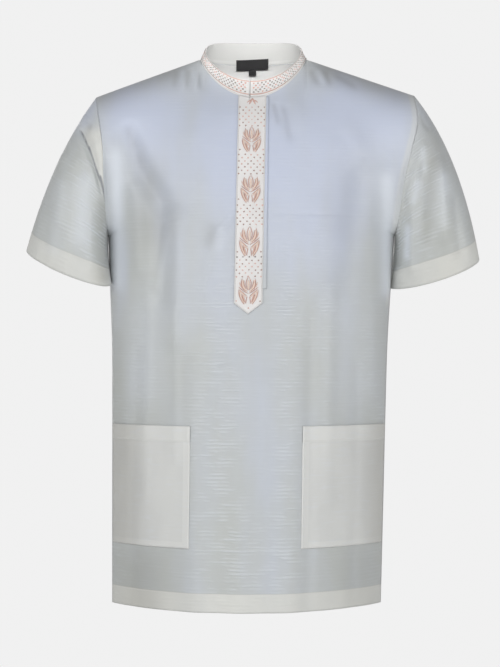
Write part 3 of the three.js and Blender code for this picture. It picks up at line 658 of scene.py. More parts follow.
def bodyPanel(name, isFront):
    slit = panel["slit"] / cloth["gridHalf"]
    half = np.linspace(slit, 1, panel["columns"])
    u = np.r_[-half[::-1], half]
    z = panelHeights(u, isFront)
    points = bodyPoint(u[None, :], z, isFront)
    x = points[..., 0]
    keep = None
    if isFront:
        keep = np.ones((z.shape[0] - 1, len(u) - 1), bool)
        keep[z[:-1, panel["columns"]] > panel["slitFoot"], panel["columns"] - 1] = False
    # beside the slubs and the doubled cloth, these values carry the painted sheen, painted highlights and
    # painted shade
    values = clothValues(x, z, blue=0.16 + patches(bluePatches[name], x, z),
                         slub=0.12 + patches(slubPatches[name], x, z),
                         satin=foldPush(satinLines[name], x, z),
                         doubled=z - (hem["z"] + hem["band"]),
                         allowance=allowanceDistance(np.broadcast_to(u, z.shape), z, isFront))
    outward = bodyOutward(points, panel["upTurn"])
    mesh = gridMesh(name + "_panel", points, outward, points[..., [0, 2]], keep=keep, values=values)
    inHem = np.where(z <= hem["z"] + hem["band"] - 1, 1.0, cloth["singleShare"])
    return addPiece(mesh, "cloth", silk, insideCloth, wall=cloth["wall"], thick=inHem, node=name)


def bodyOutward(points, up):
    return together(points[..., 0] * panel["sideTurn"], points[..., 1], up)


frontPanel = bodyPanel("front", True)
backPanel = bodyPanel("back", False)
print("front and back made")

# ---- sleeves ----
sleeve = {"depth": 54, "band": 25, "forward": 12, "under": 3, "sideOut": 15, "sideUp": 28,
          "turns": 132, "rows": 62, "bandRows": 9, "ease": 0.12, "flankEase": 0.35,
          "wedge": [(-240, -97), (-221, -135), (-206, -173), (-201.7, -196)],
          "wedgeTop": -96, "wedgeFoot": -200}


# quadratic curve from the armhole's rim over a bend to the cuff's rim; angle 0 is the shoulder's top
def sleevePoint(angle, t, side):
    sign = float(side["sign"])
    top, low = ((1 + np.cos(angle)) / 2) ** 2, ((1 - np.cos(angle)) / 2) ** 2
    flank = np.sin(angle) ** 2
    z = shoulderEnd(sign) - armholeDepth(sign) * (1 - np.cos(angle)) / 2
    reach = np.where(angle <= np.pi, armhole["front"], armhole["back"])
    rim = sign * (halfAt(z, sign) + cloth["seamGap"]) + leanAt(z)
    start = np.stack([rim, -reach * np.sin(angle), z], -1)
    end = np.stack([
        sign * (side["cuffX"] + side["reach"] * np.cos(angle)) + leanAt(side["cuffZ"]),
        -sleeve["depth"] * np.sin(angle) - side["back"] * np.cos(angle),
        side["cuffZ"] + side["rise"] * np.cos(angle) - side["dip"] * np.sin(angle)], -1)
    bend = (start + end) / 2 + np.stack([
        sign * (side["out"] * top + sleeve["sideOut"] * flank + sleeve["under"] * low),
        -sleeve["forward"] * np.sin(angle), side["up"] * top + sleeve["sideUp"] * flank], -1)
    t = t[..., None]
    return (1 - t) ** 2 * start + 2 * t * (1 - t) * bend + t ** 2 * end


def sleeveLength(angle, side):  # of each line from shoulder to cuff, summed over 39 steps
    steps = sleevePoint(angle[None, :], np.linspace(0, 1, 40)[:, None] + 0 * angle, side)
    return np.linalg.norm(np.diff(steps, axis=0), axis=-1).sum(0)


# distance to a bent line in the x-z plane, above zero on its right
def besideLine(corners, x, z):
    best = np.full(x.shape, 1e9)
    for (x0, z0), (x1, z1) in zip(corners, corners[1:]):
        dx, dz = x1 - x0, z1 - z0
        t = np.clip(((x - x0) * dx + (z - z0) * dz) / (dx * dx + dz * dz), -0.4, 1)
        away = np.hypot(x - x0 - t * dx, z - z0 - t * dz)
        signed = np.where((x - x0) * dz - (z - z0) * dx < 0, away, -away)
        best = np.where(np.abs(signed) < np.abs(best), signed, best)
    return best


def sleeveTube(name, sideName):
    side = sides[sideName]
    angle = np.linspace(0, 2 * np.pi, sleeve["turns"] + 1)[:-1]
    length = sleeveLength(angle, side)
    bandAt = 1 - sleeve["band"] / length
    upper = np.linspace(0, 1, sleeve["rows"])[:, None] * bandAt
    band = bandAt + np.linspace(0.04, 1, sleeve["bandRows"])[:, None] * (1 - bandAt)
    t = np.concatenate([upper, band])
    points = sleevePoint(angle[None, :], t, side)
    normals = gridNormals(points, ring=True)
    middle = points.mean(1, keepdims=True)
    if (normals * (points - middle)).sum() < 0:
        normals = -normals
    x, z = points[..., 0], points[..., 2]
    frontSide = smooth(np.sin(angle) / sleeve["flankEase"])
    push = foldPush(creases["sleeve" + sideName.capitalize()], x, z) * frontSide
    push += foldPush(creases["sleeveBack"], x, z) * smooth(-np.sin(angle) / sleeve["flankEase"])
    points = points + normals * (push * smooth(t / sleeve["ease"]))[..., None]
    toCuff = (1 - t) * length
    wedge, crease = far, far
    if sideName == "right":
        beside = besideLine(sleeve["wedge"], x, z)
        hidden = far * (np.sin(angle) < sleeve["ease"]) + far * (z < sleeve["wedgeFoot"])
        wedge = np.maximum(-beside + hidden, (z - sleeve["wedgeTop"]) / 5)
        # painted shadow: distance to the wedge's fold line, where the silk is painted dark as the fold's
        # shadow
        crease = np.abs(beside) + hidden + np.maximum(z - sleeve["wedge"][0][1], 0) * 0.4
    around = lengthAlong(points[-1])
    around = np.r_[around, around[-1] * (1 + 1 / sleeve["turns"])]
    uv = together(around[None, :], np.c_[toCuff, toCuff[:, :1]])
    # beside the slubs and the doubled cloth, these values carry the painted sheen, painted highlights,
    # painted shade and a fold's painted shadow
    values = clothValues(x, z, blue=0.08 + patches(bluePatches["sleeve"], x, z),
                         slub=0.25 + patches(slubPatches["sleeve"], x, z),
                         satin=foldPush(satinLines["sleeve"], x, z) * frontSide,
                         doubled=toCuff - sleeve["band"], allowance=wedge, crease=crease)
    mesh = gridMesh(name + "_tube", points, normals, uv, ring=True, values=values)
    thick = np.where(t > bandAt + 1e-6, 1.0, cloth["singleShare"])
    return addPiece(mesh, "cloth", silk, insideCloth, wall=cloth["wall"], thick=thick, node=name)


sleeveRight = sleeveTube("sleeve_right", "right")
sleeveLeft = sleeveTube("sleeve_left", "left")
print("sleeves made")

# ---- collar ----
collar = {"wall": 1.9, "gap": 0.5, "slit": 0.6, "topHalf": 68, "topFront": 52, "topBack": 47,
          "middle": 3, "swing": 32, "sideLift": 16, "columns": 420, "rows": 26, "high": 28,
          "slitWay": -3.9, "slitHalf": 0.42, "slitShadow": 1.1, "bevel": 0.45,
          "lineWidth": 1.6, "lineHigh": 0.5, "topLine": 0.94, "footLine": 0.17, "footStep": 0.7,
          "lineShade": (0.5, 0.9), "lineStitch": 1.5, "lineShell": 0.2, "dotHigh": 0.5,
          "dotRows": [0.3, 0.43, 0.56, 0.69, 0.82], "dotPitch": 6.0, "dotRadius": 1.45}


# straight from the neck's edge (share 0) to a smaller oval (share 1) that rises towards the back;
# way 0 is the front's middle, 90 the wearer's left, 180 the back
def collarPoint(way, share):
    way, share = floats(way, share)
    u = neck["column"] * np.sin(np.radians(way))
    isFront = np.cos(np.radians(way)) > 0
    front = bodyPoint(u, columnTop(u, True), True)
    back = bodyPoint(u, columnTop(u, False), False)
    base = np.where(isFront[..., None], front, back)
    shift = leanAt(base[..., 2])
    x = base[..., 0] - shift
    reach = np.where(isFront, neck["frontReach"], neck["backReach"])
    turn = np.arctan2(base[..., 1] / reach, np.abs(x) / neck["half"])
    topReach = np.where(isFront, collar["topFront"], collar["topBack"])
    height = collar["middle"] + collar["swing"] * np.sin(turn) + collar["sideLift"] * np.cos(turn) ** 2
    topX = np.where(np.abs(x) < collar["slit"] + 0.01, base[..., 0],
                    np.sign(x) * collar["topHalf"] * np.cos(turn) + shift)
    top = np.stack([topX, topReach * np.sin(turn), height], -1)
    foot = base + np.array([0, 0, collar["gap"]])
    return foot + (top - foot) * share[..., None]


# outward direction: cross product of a small step round and a small step up
def collarNormal(way, share):
    around = collarPoint(way + 0.3, share) - collarPoint(way - 0.3, share)
    up = collarPoint(way, share + 0.01) - collarPoint(way, share - 0.01)
    return unit(np.cross(around, up))


level = np.array([1, 1, 0])  # leaves out the height of a direction
slitHalfWay = math.degrees(collar["slitHalf"] / cloth["gridHalf"] / neck["column"])
ways = collar["slitWay"] + np.linspace(slitHalfWay, 360 - slitHalfWay, collar["columns"])
ringLength = lengthAlong(collarPoint(ways, 0.5))


def collarBand():
    share = np.linspace(0, 1, collar["rows"])[:, None]
    points = collarPoint(ways[None, :], share)
    height = np.linalg.norm(points[-1] - points[0], axis=-1)
    # the outer face steps in by a folded edge below the foot line
    step = collar["footStep"] * (1 - smooth((share - 0.1) / 0.05))
    points = points - collarNormal(*np.broadcast_arrays(ways, share)) * (step + 0 * ways)[..., None]
    uv = together(ringLength[None, :], share * height)
    dark = np.clip(1.3 - ringLength / collar["slitShadow"], 0, 1)  # the shadow of the overlapping end
    mesh = gridMesh("collar_band", points, points * level, uv, values={"dark": dark + 0 * share})
    piece = addPiece(mesh, "trim", trimCloth, liningCloth, wall=collar["wall"] - collar["footStep"],
                     node="collar")
    bevel = piece.modifiers.new("soft edge", "BEVEL")
    bevel.width = collar["bevel"] * mm
    bevel.segments = 2
    bevel.angle_limit = math.radians(50)
    return piece


collarPiece = collarBand()
print("collar made")

# ---- placket, the strip under it, pockets ----
placket = {"wall": 1.5, "half": 19.5, "top": 0.9, "foot": -341, "tip": -356, "drift": -3,
          "columns": 31, "rows": 150, "edgeRound": 2.2, "edgeDrop": 1.9, "shell": 0.75, "throat": -62}
under = {"wall": 1, "left": -11, "right": 22, "top": 3, "foot": -321, "columns": 18, "rows": 130,
         "shell": 0.9}
pocket = {"wall": 1.4, "hemWall": 2, "innerRight": 0.4, "outer": 0.985, "top": -509, "bottom": -677,
          "band": 22, "columns": 70, "rows": 84, "hemRows": 12, "edge": 8, "edgeRound": 1.8,
          "step": 0.8, "turning": 9, "shell": 0.8, "shadeFrom": {-1: 0.45, 1: 0.62}}
toFront = (0, -1, 0)
placketLift = cloth["seamGap"] + under["wall"] + cloth["seamGap"] + placket["wall"]


# column of a point of the placket: its side share of the half width, drifting right of the wearer
def placketU(side, z):
    drift = placket["drift"] * np.minimum(z / placket["tip"], 1)
    return (side * placket["half"] + drift) / cloth["gridHalf"]


# a point on the placket's face: side from -1 to 1, and its height over the face
def onPlacket(side, z, lift):
    return liedOn(placketU(side, z), z, placketLift + lift)


# strip with a pointed foot: the front's own points moved out, its edges turned down
def placketStrip():
    side = np.sin(np.linspace(-np.pi / 2, np.pi / 2, placket["columns"]))[None, :]
    foot = placket["tip"] + (placket["foot"] - placket["tip"]) * np.abs(side)
    top = columnTop(placketU(side, -50.0), True) - placket["top"]
    share = np.r_[0, np.linspace(0.004, 1, placket["rows"])][:, None]
    z = foot + (top - foot) * share
    edge = np.minimum((1 - np.abs(side)) * placket["half"], (z - foot) * 0.8)  # to the slanted foot
    lift = -placket["edgeDrop"] * (1 - smooth(edge / placket["edgeRound"]))
    points = onPlacket(side, z, lift)
    uv = together(side * placket["half"], z)
    # painted shadow: a dark line down the placket's middle above the throat, where the collar's slit runs
    # on
    dark = np.clip(1.2 - np.abs(points[..., 0]) / 1.2, 0, 1) * smooth((z - placket["throat"]) / 3)
    mesh = gridMesh("placket_strip", points, toFront, uv, values={"dark": dark * 0.7})
    return addPiece(mesh, "trim", trimCloth, wall=placket["shell"], node="placket")


def underStrip():  # the front's own points moved out
    x = np.linspace(under["left"], under["right"], under["columns"])[None, :]
    u = x / cloth["gridHalf"]
    top = columnTop(u, True) - under["top"]
    z = under["foot"] + (top - under["foot"]) * np.linspace(0, 1, under["rows"])[:, None]
    points = liedOn(u, z, cloth["seamGap"] + under["wall"])
    # the strip takes the front's painted sheen
    values = clothValues(x, z, blue=0.16 + patches(bluePatches["front"], x, z))
    mesh = gridMesh("under_strip", points, toFront, together(x, z), values=values)
    return addPiece(mesh, "cloth", silk, wall=under["shell"], node="placket_under")


# patch pocket: the front's own points moved out, its edges turned under, a step at the hem line
def pocketPatch(name, sign, inner):
    edge = pocket["edge"] / (pocket["top"] - pocket["bottom"])
    share = np.r_[np.linspace(0, edge, 6)[:-1], np.linspace(edge, 1, pocket["columns"])]
    u = sign * (inner + (pocket["outer"] - inner) * share)[None, :]
    bandFoot = pocket["top"] - pocket["band"]
    rows = np.r_[np.linspace(pocket["bottom"], bandFoot, pocket["rows"]),
                 np.linspace(bandFoot + pocket["step"], pocket["top"], pocket["hemRows"])]
    z = rows[:, None] + 0 * u
    inBand = smooth((z - bandFoot) / pocket["step"])
    lift = cloth["seamGap"] + pocket["wall"] + (pocket["hemWall"] - pocket["wall"]) * inBand
    fromSide = (share * (pocket["outer"] - inner) * cloth["gridHalf"])[None, :]
    fromEdge = np.minimum(z - pocket["bottom"], fromSide)
    lift = lift - (1 - smooth(fromEdge / pocket["edgeRound"]))
    points = liedOn(u, z, lift)
    uv = together(sign * lengthAlong(points[0])[None, :], z)
    values = {"doubled": np.minimum(fromEdge - pocket["turning"], bandFoot - z),
              # the second value sets how far the painted shade reaches in from the pocket's outer side
              "outer": smooth((share - pocket["shadeFrom"][sign]) / 0.4)[None, :]}
    mesh = gridMesh(name + "_patch", points, bodyOutward(points, 0), uv, values=values)
    return addPiece(mesh, "doubled_cloth", pocketCloth, wall=pocket["shell"], node=name)


placketPiece = placketStrip()
underPiece = underStrip()
pocketRight = pocketPatch("pocket_right", -1, pocket["innerRight"])
pocketLeft = pocketPatch("pocket_left", 1, neck["column"])
print("placket and pockets made")

# ---- neck label and size tab, left bare ----
label = {"half": 23, "top": 12, "bottom": -3, "tilt": 0.0455, "aside": -1.4}
sizeTab = {"half": 5.3, "top": -3.3, "bottom": -10.5, "tilt": 0.007, "aside": -1}
tapeShape = {"off": 2.9, "ripple": 0.25, "rippleHigh": 15, "shell": 0.5}


# follows the back collar's inner face, its end a little lower on the wearer's right
def tape(name, size, node):
    x = np.linspace(-size["half"], size["half"], 41)[None, :]
    z = np.linspace(size["bottom"], size["top"], 15)[:, None] + size["tilt"] * x
    foot = neck["backReach"] * oval(x / neck["half"])
    crown = collar["topBack"] * oval(x / collar["topHalf"])
    backFoot = neck["sideZ"] - neck["backDrop"]
    share = (z - backFoot) / (collar["middle"] + collar["swing"] - backFoot)
    ripple = tapeShape["ripple"] * np.sin(x / size["half"] * 5 + 1)
    ripple = ripple * (z - size["bottom"]) / tapeShape["rippleHigh"]
    y = foot + (crown - foot) * share - tapeShape["off"] - ripple
    points = together(x + leanAt(z) + size["aside"], y, z)
    mesh = gridMesh(name, points, toFront, together(x, z))
    return addPiece(mesh, "label_tape", labelTape, wall=tapeShape["shell"], node=node)


labelPiece = tape("neck_tape", label, "label")
tabPiece = tape("tab_tape", sizeTab, "size_tab")
print("label made")

# ---- embroidery ----
# flower strokes: three points of a curve (x, z from the flower's middle), half width, shade, mirrored
flowerStrokes = [
    (0, 1.6, 0, 8, 0, 15, 1.8, 0.0, 0), (0, 5.6, 0, 9, 0, 12.4, 1.0, 0.64, 0),
    (0.5, 0.6, 6.4, 8.6, 0.5, 19.4, 0.55, 0.67, 1), (1.4, -1.2, 9.2, 4.6, 7.8, 15.4, 1.7, 0.03, 1),
    (3, -0.4, 12.8, 4.6, 8.8, 17.2, 0.55, 0.62, 1), (3.2, 2.6, 6.8, 7, 6.2, 14.6, 0.42, 0.67, 1),
    (6.4, 2.4, 11.2, 5.4, 12.4, 12, 0.9, 0.14, 1), (0.4, -3.8, 6.4, -1.2, 13.4, 5.2, 0.6, 0.67, 1),
    (12.4, 1.2, 8, -3.4, 2.4, -9.8, 1.1, 0.06, 1), (12, -0.4, 11.2, -8.6, 5, -18.4, 1.4, 0.03, 1),
    (7.4, -5.4, 6.2, -10.4, 4, -17, 1.0, 0.2, 1), (13.2, 2, 8, -2.2, 1.6, -7.8, 0.42, 0.6, 1),
    (13.4, 1, 13.6, -8.8, 5.4, -19.4, 0.5, 0.6, 1), (9, -4.4, 7.8, -10, 5, -16, 0.45, 0.67, 1),
    (1.5, -8.6, 3, -12, 3.2, -18.6, 0.5, 0.66, 1),
]
# the topmost flower shows only its lower leaves
crownStrokes = [(0.5, 5.4, 1.4, 2, 4.4, -3.4, 1.2, 0.46, 1), (2.2, 3, 4.8, 1.6, 7.4, -0.8, 0.8, 0.5, 1)]
# height of each flower's middle, how tall and wide it is beside the table's
flowers = [(-116, 0.92, 0.95), (-185, 0.98, 0.98), (-257, 1.06, 1.0), (-324, 0.97, 0.98)]
# dot fields on the placket: from, to; the fields lie between the flowers
dotFields = [(-70, -95), (-137, -162), (-207, -232), (-278, -303)]
dots = {"pitchX": 8.4, "pitchZ": 4.4, "radius": 1.1, "high": 0.6, "sides": 8, "brownAt": -279, "last": -348,
        "rings": np.array([1.0, 0.82, 0.45, 0.04]), "rise": np.array([0.0, 0.62, 0.95, 1.0])}
strokes = {"high": 0.62, "endWidth": 0.35, "endHeight": 0.3, "narrow": 0.7, "narrowLift": 0.4, "run": 18,
           "crownZ": -62.5, "off": 0.05, "shell": 0.25}


# strokes as soft ridges: a curve, widened by half width * sin, raised by the circle over its width
def strokeGrid(table, along=18, acrossCount=7):
    rows = []
    for x0, z0, x1, z1, x2, z2, wide, shade, mirrored in table:
        rows.append((x0, z0, x1, z1, x2, z2, wide, shade))
        if mirrored:
            rows.append((-x0, z0, -x1, z1, -x2, z2, wide, shade))
    table = np.array(rows)
    t = np.linspace(0, 1, along)[None, :, None]
    a, b, c = (table[:, None, k:k + 2] for k in (0, 2, 4))
    path = (1 - t) ** 2 * a + 2 * t * (1 - t) * b + t ** 2 * c
    sideways = unit(np.gradient(path, axis=1))[..., ::-1] * np.array([-1, 1])
    rounding = np.sin(np.pi * t)
    wide = table[:, 6, None] * (strokes["endWidth"] + (1 - strokes["endWidth"]) * rounding[..., 0] ** 0.7)
    v = np.linspace(-1, 1, acrossCount)
    side = wide[..., None] * v
    flat = path[:, :, None, :] + sideways[:, :, None, :] * side[..., None]
    high = strokes["high"] * oval(v) * (strokes["endHeight"] + (1 - strokes["endHeight"]) * rounding ** 0.5)
    # the narrow ones are sewn over the wide ones
    high = high + strokes["narrowLift"] * (table[:, 6, None, None] < strokes["narrow"])
    shade = np.broadcast_to(table[:, 7, None, None], high.shape)
    run = np.linspace(0, strokes["run"], along)[None, :, None]
    return flat, high, shade, together(side, run)


def placketFlowers():
    flat, high, shade, uv = strokeGrid(flowerStrokes)
    parts = [(flat * (wide, tall) + (0, z), high, shade, uv) for z, tall, wide in flowers]
    crown, *rest = strokeGrid(crownStrokes)
    parts.append((crown + (0, strokes["crownZ"]), *rest))
    flat, high, shade, uv = (np.concatenate(p) for p in zip(*parts))
    points = onPlacket(flat[..., 0] / placket["half"], flat[..., 1], high + strokes["off"])
    mesh = joinedGrids("placket_flowers", points, uv, shade)
    return addPiece(mesh, "trim", embroideryThread, wall=strokes["shell"])


# low knots: rings of 8 points that rise towards a flat top, laid out by the placing function
def knots(name, centre, place, radius, high, shade, outwardAt=lambda middle: (0, -1, 0)):
    turn = np.linspace(0, 2 * np.pi, dots["sides"] + 1)
    rise = dots["rise"] * high
    reach = radius[:, None, None] * dots["rings"][None, :, None]
    dx, dz = reach * np.cos(turn), reach * np.sin(turn)
    points = place(centre[:, 0, None, None] + dx, centre[:, 1, None, None] + dz,
                   np.broadcast_to(rise[None, :, None], dx.shape))
    outward = outwardAt(points.mean((1, 2), keepdims=True))
    return joinedGrids(name, points, together(dx, dz) * 3, shade[:, None, None], outward)


def placketDots():
    rng = np.random.default_rng(7)
    rows = []
    for top, foot in dotFields:
        count = int(round((top - foot) / dots["pitchZ"])) + 1
        for k in range(count):
            offsets = np.arange(-2, 3) if k % 2 == 0 else np.arange(-1.5, 2)
            rows += [(o * dots["pitchX"], top - k * dots["pitchZ"]) for o in offsets]
    rows += [(sign * 16, z - 14) for z, _, _ in flowers for sign in (-1, 1)]
    rows.append((0, dots["last"]))
    centre = np.array(rows) + rng.normal(0, 0.25, (len(rows), 2))
    fromMiddle = np.abs(centre[:, 0]) / placket["half"]
    dark = np.abs(centre[:, 1] - dots["brownAt"]) < 3
    shade = np.where(rng.random(len(rows)) < 0.3 + 0.6 * fromMiddle, 0.88, 0.34)
    shade = np.where(dark, 1.0, shade)
    radius = dots["radius"] * (0.9 + 0.25 * rng.random(len(rows)))
    mesh = knots("placket_dots", centre, lambda x, z, h: onPlacket(x / placket["half"], z, h), radius,
                 dots["high"], shade)
    return addPiece(mesh, "trim", embroideryThread)


def wayAt(length):  # the way that lies at a length round the collar
    return np.interp(length, ringLength, ways)


def onCollar(length, share, lift):  # the collar's own point moved out by lift
    way = wayAt(length)
    return collarPoint(way, share) + collarNormal(way, share) * np.asarray(lift)[..., None]


def collarDots():
    rng = np.random.default_rng(11)
    count = int(ringLength[-1] // collar["dotPitch"])
    start = (ringLength[-1] - (count - 1) * collar["dotPitch"]) / 2
    rows = []
    for k, share in enumerate(collar["dotRows"]):
        shift = collar["dotPitch"] / 2 * (k % 2)
        rows += [(start + shift + n * collar["dotPitch"], share) for n in range(count - k % 2)]
    centre = np.array(rows)
    centre[:, 0] += rng.normal(0, 0.2, len(rows))
    kind = rng.random(len(rows))
    shade = np.where(kind < 0.68, 0.97, np.where(kind < 0.9, 0.72, 0.45))
    radius = collar["dotRadius"] * (0.85 + 0.25 * rng.random(len(rows)))
    mesh = knots("collar_dots", centre * np.array([1, collar["high"]]),
                 lambda x, z, h: onCollar(x, z / collar["high"], h), radius, collar["dotHigh"], shade,
                 outwardAt=lambda middle: middle * level)
    return addPiece(mesh, "trim", embroideryThread)


# a raised line round the collar at one share of its height, with the bumps of its stitches
def collarLine(name, share):
    length = np.linspace(0.5, ringLength[-1] - 0.5, 900)
    v = np.linspace(-1, 1, 7)[:, None]
    stitchBumps = 0.8 + 0.2 * np.cos(length / collar["lineStitch"] * 2 * np.pi)
    lift = collar["lineHigh"] * oval(v) * stitchBumps[None, :]
    shares = share + v * collar["lineWidth"] / 2 / collar["high"]
    points = onCollar(length[None, :] + 0 * shares, shares + 0 * length, lift + 0.04)
    fromSlit = np.minimum(length, ringLength[-1] - length) / ringLength[-1]
    near, away = collar["lineShade"]
    shade = near + (away - near) * smooth(fromSlit * 6)[None, :]
    uv = together(length[None, :], v * collar["lineWidth"])
    mesh = gridMesh(name, points, points * level, uv, values={"shade": shade})
    return addPiece(mesh, "trim", embroideryThread, wall=collar["lineShell"])


flowersPiece = placketFlowers()
dotsPiece = placketDots()
collarDotsPiece = collarDots()
topLine = collarLine("collar_top_line", collar["topLine"])
footLine = collarLine("collar_foot_line", collar["footLine"])
print("embroidery made")

# ---- stitches ----
stitch = {"pitch": 3.4, "length": 2.5, "half": 0.28, "high": 0.22, "off": 0.02, "inset": 1.6,
          "pocketInset": 2.2, "pocketTop": 1.5}


# short raised bars at equal steps along a path of points with their outward directions
def stitchRow(path, outward):
    run = lengthAlong(path)
    middles = np.arange(stitch["pitch"] / 2, run[-1], stitch["pitch"])
    at = lambda values, where: together(*(np.interp(where, run, axis) for axis in values.T))
    t = np.array([-1, 0, 1]) * stitch["length"] / 2
    line = at(path, middles[:, None] + t)
    out = unit(at(outward, middles[:, None] + t))
    sideways = unit(np.cross(out, np.gradient(line, axis=1)))
    v = np.array([-1, 0, 1])
    high = stitch["high"] * np.array([0.15, 1, 0.15])[None, :, None] * np.array([0.1, 1, 0.1])
    points = (line[:, :, None] + sideways[:, :, None] * (v * stitch["half"])[:, None]
              + out[:, :, None] * high[..., None])
    return points, np.broadcast_to(out[:, :, None], points.shape)


def stitchPiece(name, rows, slot):
    points, out = (np.concatenate(p) for p in zip(*[stitchRow(*row) for row in rows]))
    uv = points[..., [0, 2]]
    return addPiece(joinedGrids(name, points, uv, 0.0, out), slot, sewingThread)


def hemPath(isFront):
    u = np.linspace(-0.995, 0.995, 500)
    z = np.full(u.shape, hem["z"] + hem["band"] - stitch["inset"])
    return bodyPoint(u, z, isFront), bodyNormal(u, z, isFront)


def cuffPath(side):
    angle = np.linspace(0, 2 * np.pi, 300)
    t = 1 - (sleeve["band"] - stitch["inset"]) / sleeveLength(angle, side)
    path = sleevePoint(angle, t, side)
    ahead = sleevePoint(angle, t + 0.01, side)
    around = np.roll(path, -1, 0) - np.roll(path, 1, 0)
    around[0] = around[-1] = path[1] - path[-2]
    out = unit(np.cross(around, ahead - path))
    if (out * (path - path.mean(0))).sum() < 0:
        out = -out
    return path + out * stitch["off"], out


def frontPath(u, z, lift):  # points over the front, and the way out from it
    return liedOn(u, z, lift + stitch["off"]), bodyNormal(u, z, True)


# along the pocket's inner side, foot and outer side, a little inside its edge
def pocketPath(sign, inner, count=120):
    edge = stitch["pocketInset"] / cloth["gridHalf"]
    left, right = inner + edge, pocket["outer"] - edge
    top, low = pocket["top"] - stitch["pocketTop"], pocket["bottom"] + stitch["pocketInset"]
    u = sign * np.r_[np.full(count, left), np.linspace(left, right, count), np.full(count, right)]
    z = np.r_[np.linspace(top, low, count), np.full(count, low), np.linspace(low, top, count)]
    return frontPath(u, z, cloth["seamGap"] + pocket["wall"])


def pocketHemPath(sign, inner):
    u = sign * np.linspace(inner + 0.006, pocket["outer"] - 0.006, 160)
    z = np.full(u.shape, pocket["top"] - pocket["band"] + stitch["pocketInset"])
    return frontPath(u, z, cloth["seamGap"] + pocket["hemWall"])


def placketPath():
    side = 1 - stitch["inset"] / placket["half"]
    top, foot, tip = -66, placket["foot"] + 0.5, placket["tip"] + stitch["inset"] * 1.1
    run = [(-side, -side, top, foot, 180), (-side, 0, foot, tip, 30), (0, side, tip, foot, 30),
           (side, side, foot, top, 180)]
    share = np.concatenate([np.linspace(a, b, count) for a, b, _, _, count in run])
    z = np.concatenate([np.linspace(a, b, count) for _, _, a, b, count in run])
    return onPlacket(share, z, stitch["off"]), bodyNormal(placketU(share, z), z, True)


def collarPath(share, lift):
    length = np.linspace(2, ringLength[-1] - 2, 500)
    share = np.full(length.shape, share)
    return onCollar(length, share, lift + 0 * length), collarNormal(wayAt(length), share)


hemStitches = stitchPiece("hem_stitches", [hemPath(True), hemPath(False)], "cloth")
cuffStitches = stitchPiece("cuff_stitches", [cuffPath(sides["right"]), cuffPath(sides["left"])], "cloth")
pocketEnds = [(-1, pocket["innerRight"]), (1, neck["column"])]
pocketStitches = stitchPiece("pocket_stitches", [path(*end) for path in (pocketPath, pocketHemPath)
                                                 for end in pocketEnds], "doubled_cloth")
trimStitches = stitchPiece("trim_stitches", [placketPath(), collarPath(0.06, -0.66)], "trim")
print("stitches made")

# ---- floor, light, camera ----
studio = {"floorZ": -1.2, "floorRadius": 1.6, "below": 0.56, "above": 0.28, "backdrop": 0.878,
          "distance": 3.3, "height": -0.3822, "lens": 125.6, "rings": 12, "turns": 96}


def floorDisc():
    ring = np.linspace(0, 1, studio["rings"])[:, None]
    turn = np.linspace(0, 2 * np.pi, studio["turns"] + 1)[:-1][None, :]
    radius = studio["floorRadius"] / mm * np.maximum(ring, 0.001)
    points = together(radius * np.cos(turn), radius * np.sin(turn), studio["floorZ"] / mm)
    mesh = gridMesh("floor", points, (0, 0, 1), ring=True)
    n = Nodes("pale_floor")
    spots = n.noise(n.scaled(n.add("ShaderNodeTexCoord").outputs["Object"], (6, 6, 6)), detail=3.0)
    color = n.mix(n.ranged(spots, 0.3, 0.7), finish["floor"], finish["floorShade"])
    mesh.materials.append(n.finish(color, 0.8, n.bump(spots, 0.05, 1)))
    placed("floor", mesh)


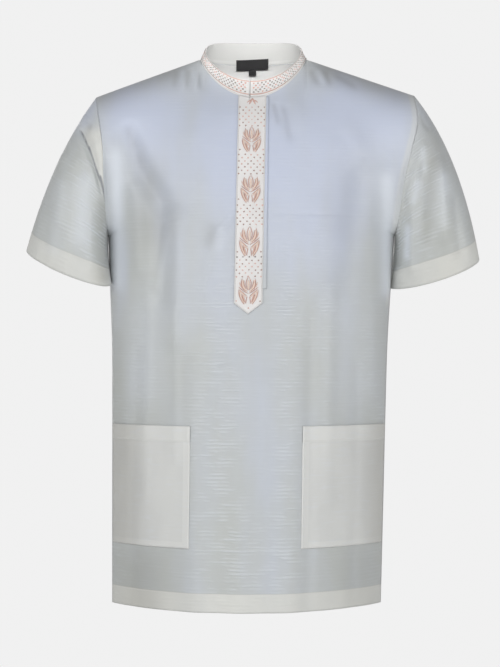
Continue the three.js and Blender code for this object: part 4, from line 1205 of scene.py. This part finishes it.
# even white behind the shirt for the camera; as light it is stronger from below than from above
def softWorld():
    world = bpy.data.worlds.new("studio")
    bpy.context.scene.world = world
    world.use_nodes = True
    add, link = world.node_tree.nodes.new, world.node_tree.links.new
    seen = world.node_tree.nodes["Background"]
    fill = add("ShaderNodeBackground")
    for shader in (seen, fill):
        shader.inputs["Color"].default_value = (1, 1, 1, 1)
    seen.inputs["Strength"].default_value = studio["backdrop"]
    way, height = add("ShaderNodeSeparateXYZ"), add("ShaderNodeMapRange")
    for key, value in (("From Min", -1), ("To Min", studio["below"]), ("To Max", studio["above"])):
        height.inputs[key].default_value = value
    chosen = add("ShaderNodeMixShader")
    link(add("ShaderNodeTexCoord").outputs["Generated"], way.inputs[0])
    link(way.outputs["Z"], height.inputs["Value"])
    link(height.outputs[0], fill.inputs["Strength"])
    link(add("ShaderNodeLightPath").outputs["Is Camera Ray"], chosen.inputs[0])
    link(fill.outputs[0], chosen.inputs[1])
    link(seen.outputs[0], chosen.inputs[2])
    link(chosen.outputs[0], world.node_tree.nodes["World Output"].inputs["Surface"])


# name, place, what it looks at, size, power in watts
softLights = [
    ("keyLeft", (1.05, -3.1, 0.45), (0, 0, -0.4), 1.2, 14.5),
    ("keyRight", (-0.95, -3.1, 0.3), (0, 0, -0.4), 1.2, 13.5),
    ("fill", (-1.9, -2.2, 0.7), (0, 0, -0.25), 1.6, 5),
    ("rightSide", (1.9, -2.0, -0.15), (0, 0, -0.4), 1.4, 18),
    ("leftSide", (-1.9, -2.0, 0.05), (0, 0, -0.35), 1.4, 17.5),
    ("rim", (-0.4, 2.8, 0.0), (0, 0, -0.35), 1.6, 12),
]
# a narrow beam into the neck
neckBeam = {"place": (0, -1.2, 0.15), "target": (0, 0.05, 0.045), "size": 0.03, "angle": 9, "power": 42,
            "blend": 0.35}


def lamp(name, kind, power, place, target):
    light = bpy.data.lights.new(name, kind)
    light.energy = power
    placed(name, light, place, (Vector(target) - Vector(place)).to_track_quat("-Z", "Y").to_euler())
    return light


def studioLamps():
    for name, place, target, size, power in softLights:
        lamp(name, "AREA", power, place, target).size = size
    beam = lamp("neck", "SPOT", neckBeam["power"], neckBeam["place"], neckBeam["target"])
    beam.shadow_soft_size = neckBeam["size"]
    beam.spot_size = math.radians(neckBeam["angle"])
    beam.spot_blend = neckBeam["blend"]


def portraitCamera():
    camera = placed("camera", bpy.data.cameras.new("camera"), (0, -studio["distance"], studio["height"]),
                    (math.pi / 2, 0, 0))
    camera.data.lens = studio["lens"]
    camera.data.clip_end = 50
    bpy.context.scene.camera = camera


floorDisc()
softWorld()
studioLamps()
portraitCamera()
bpy.context.scene.view_settings.view_transform = "Standard"
print("studio ready")
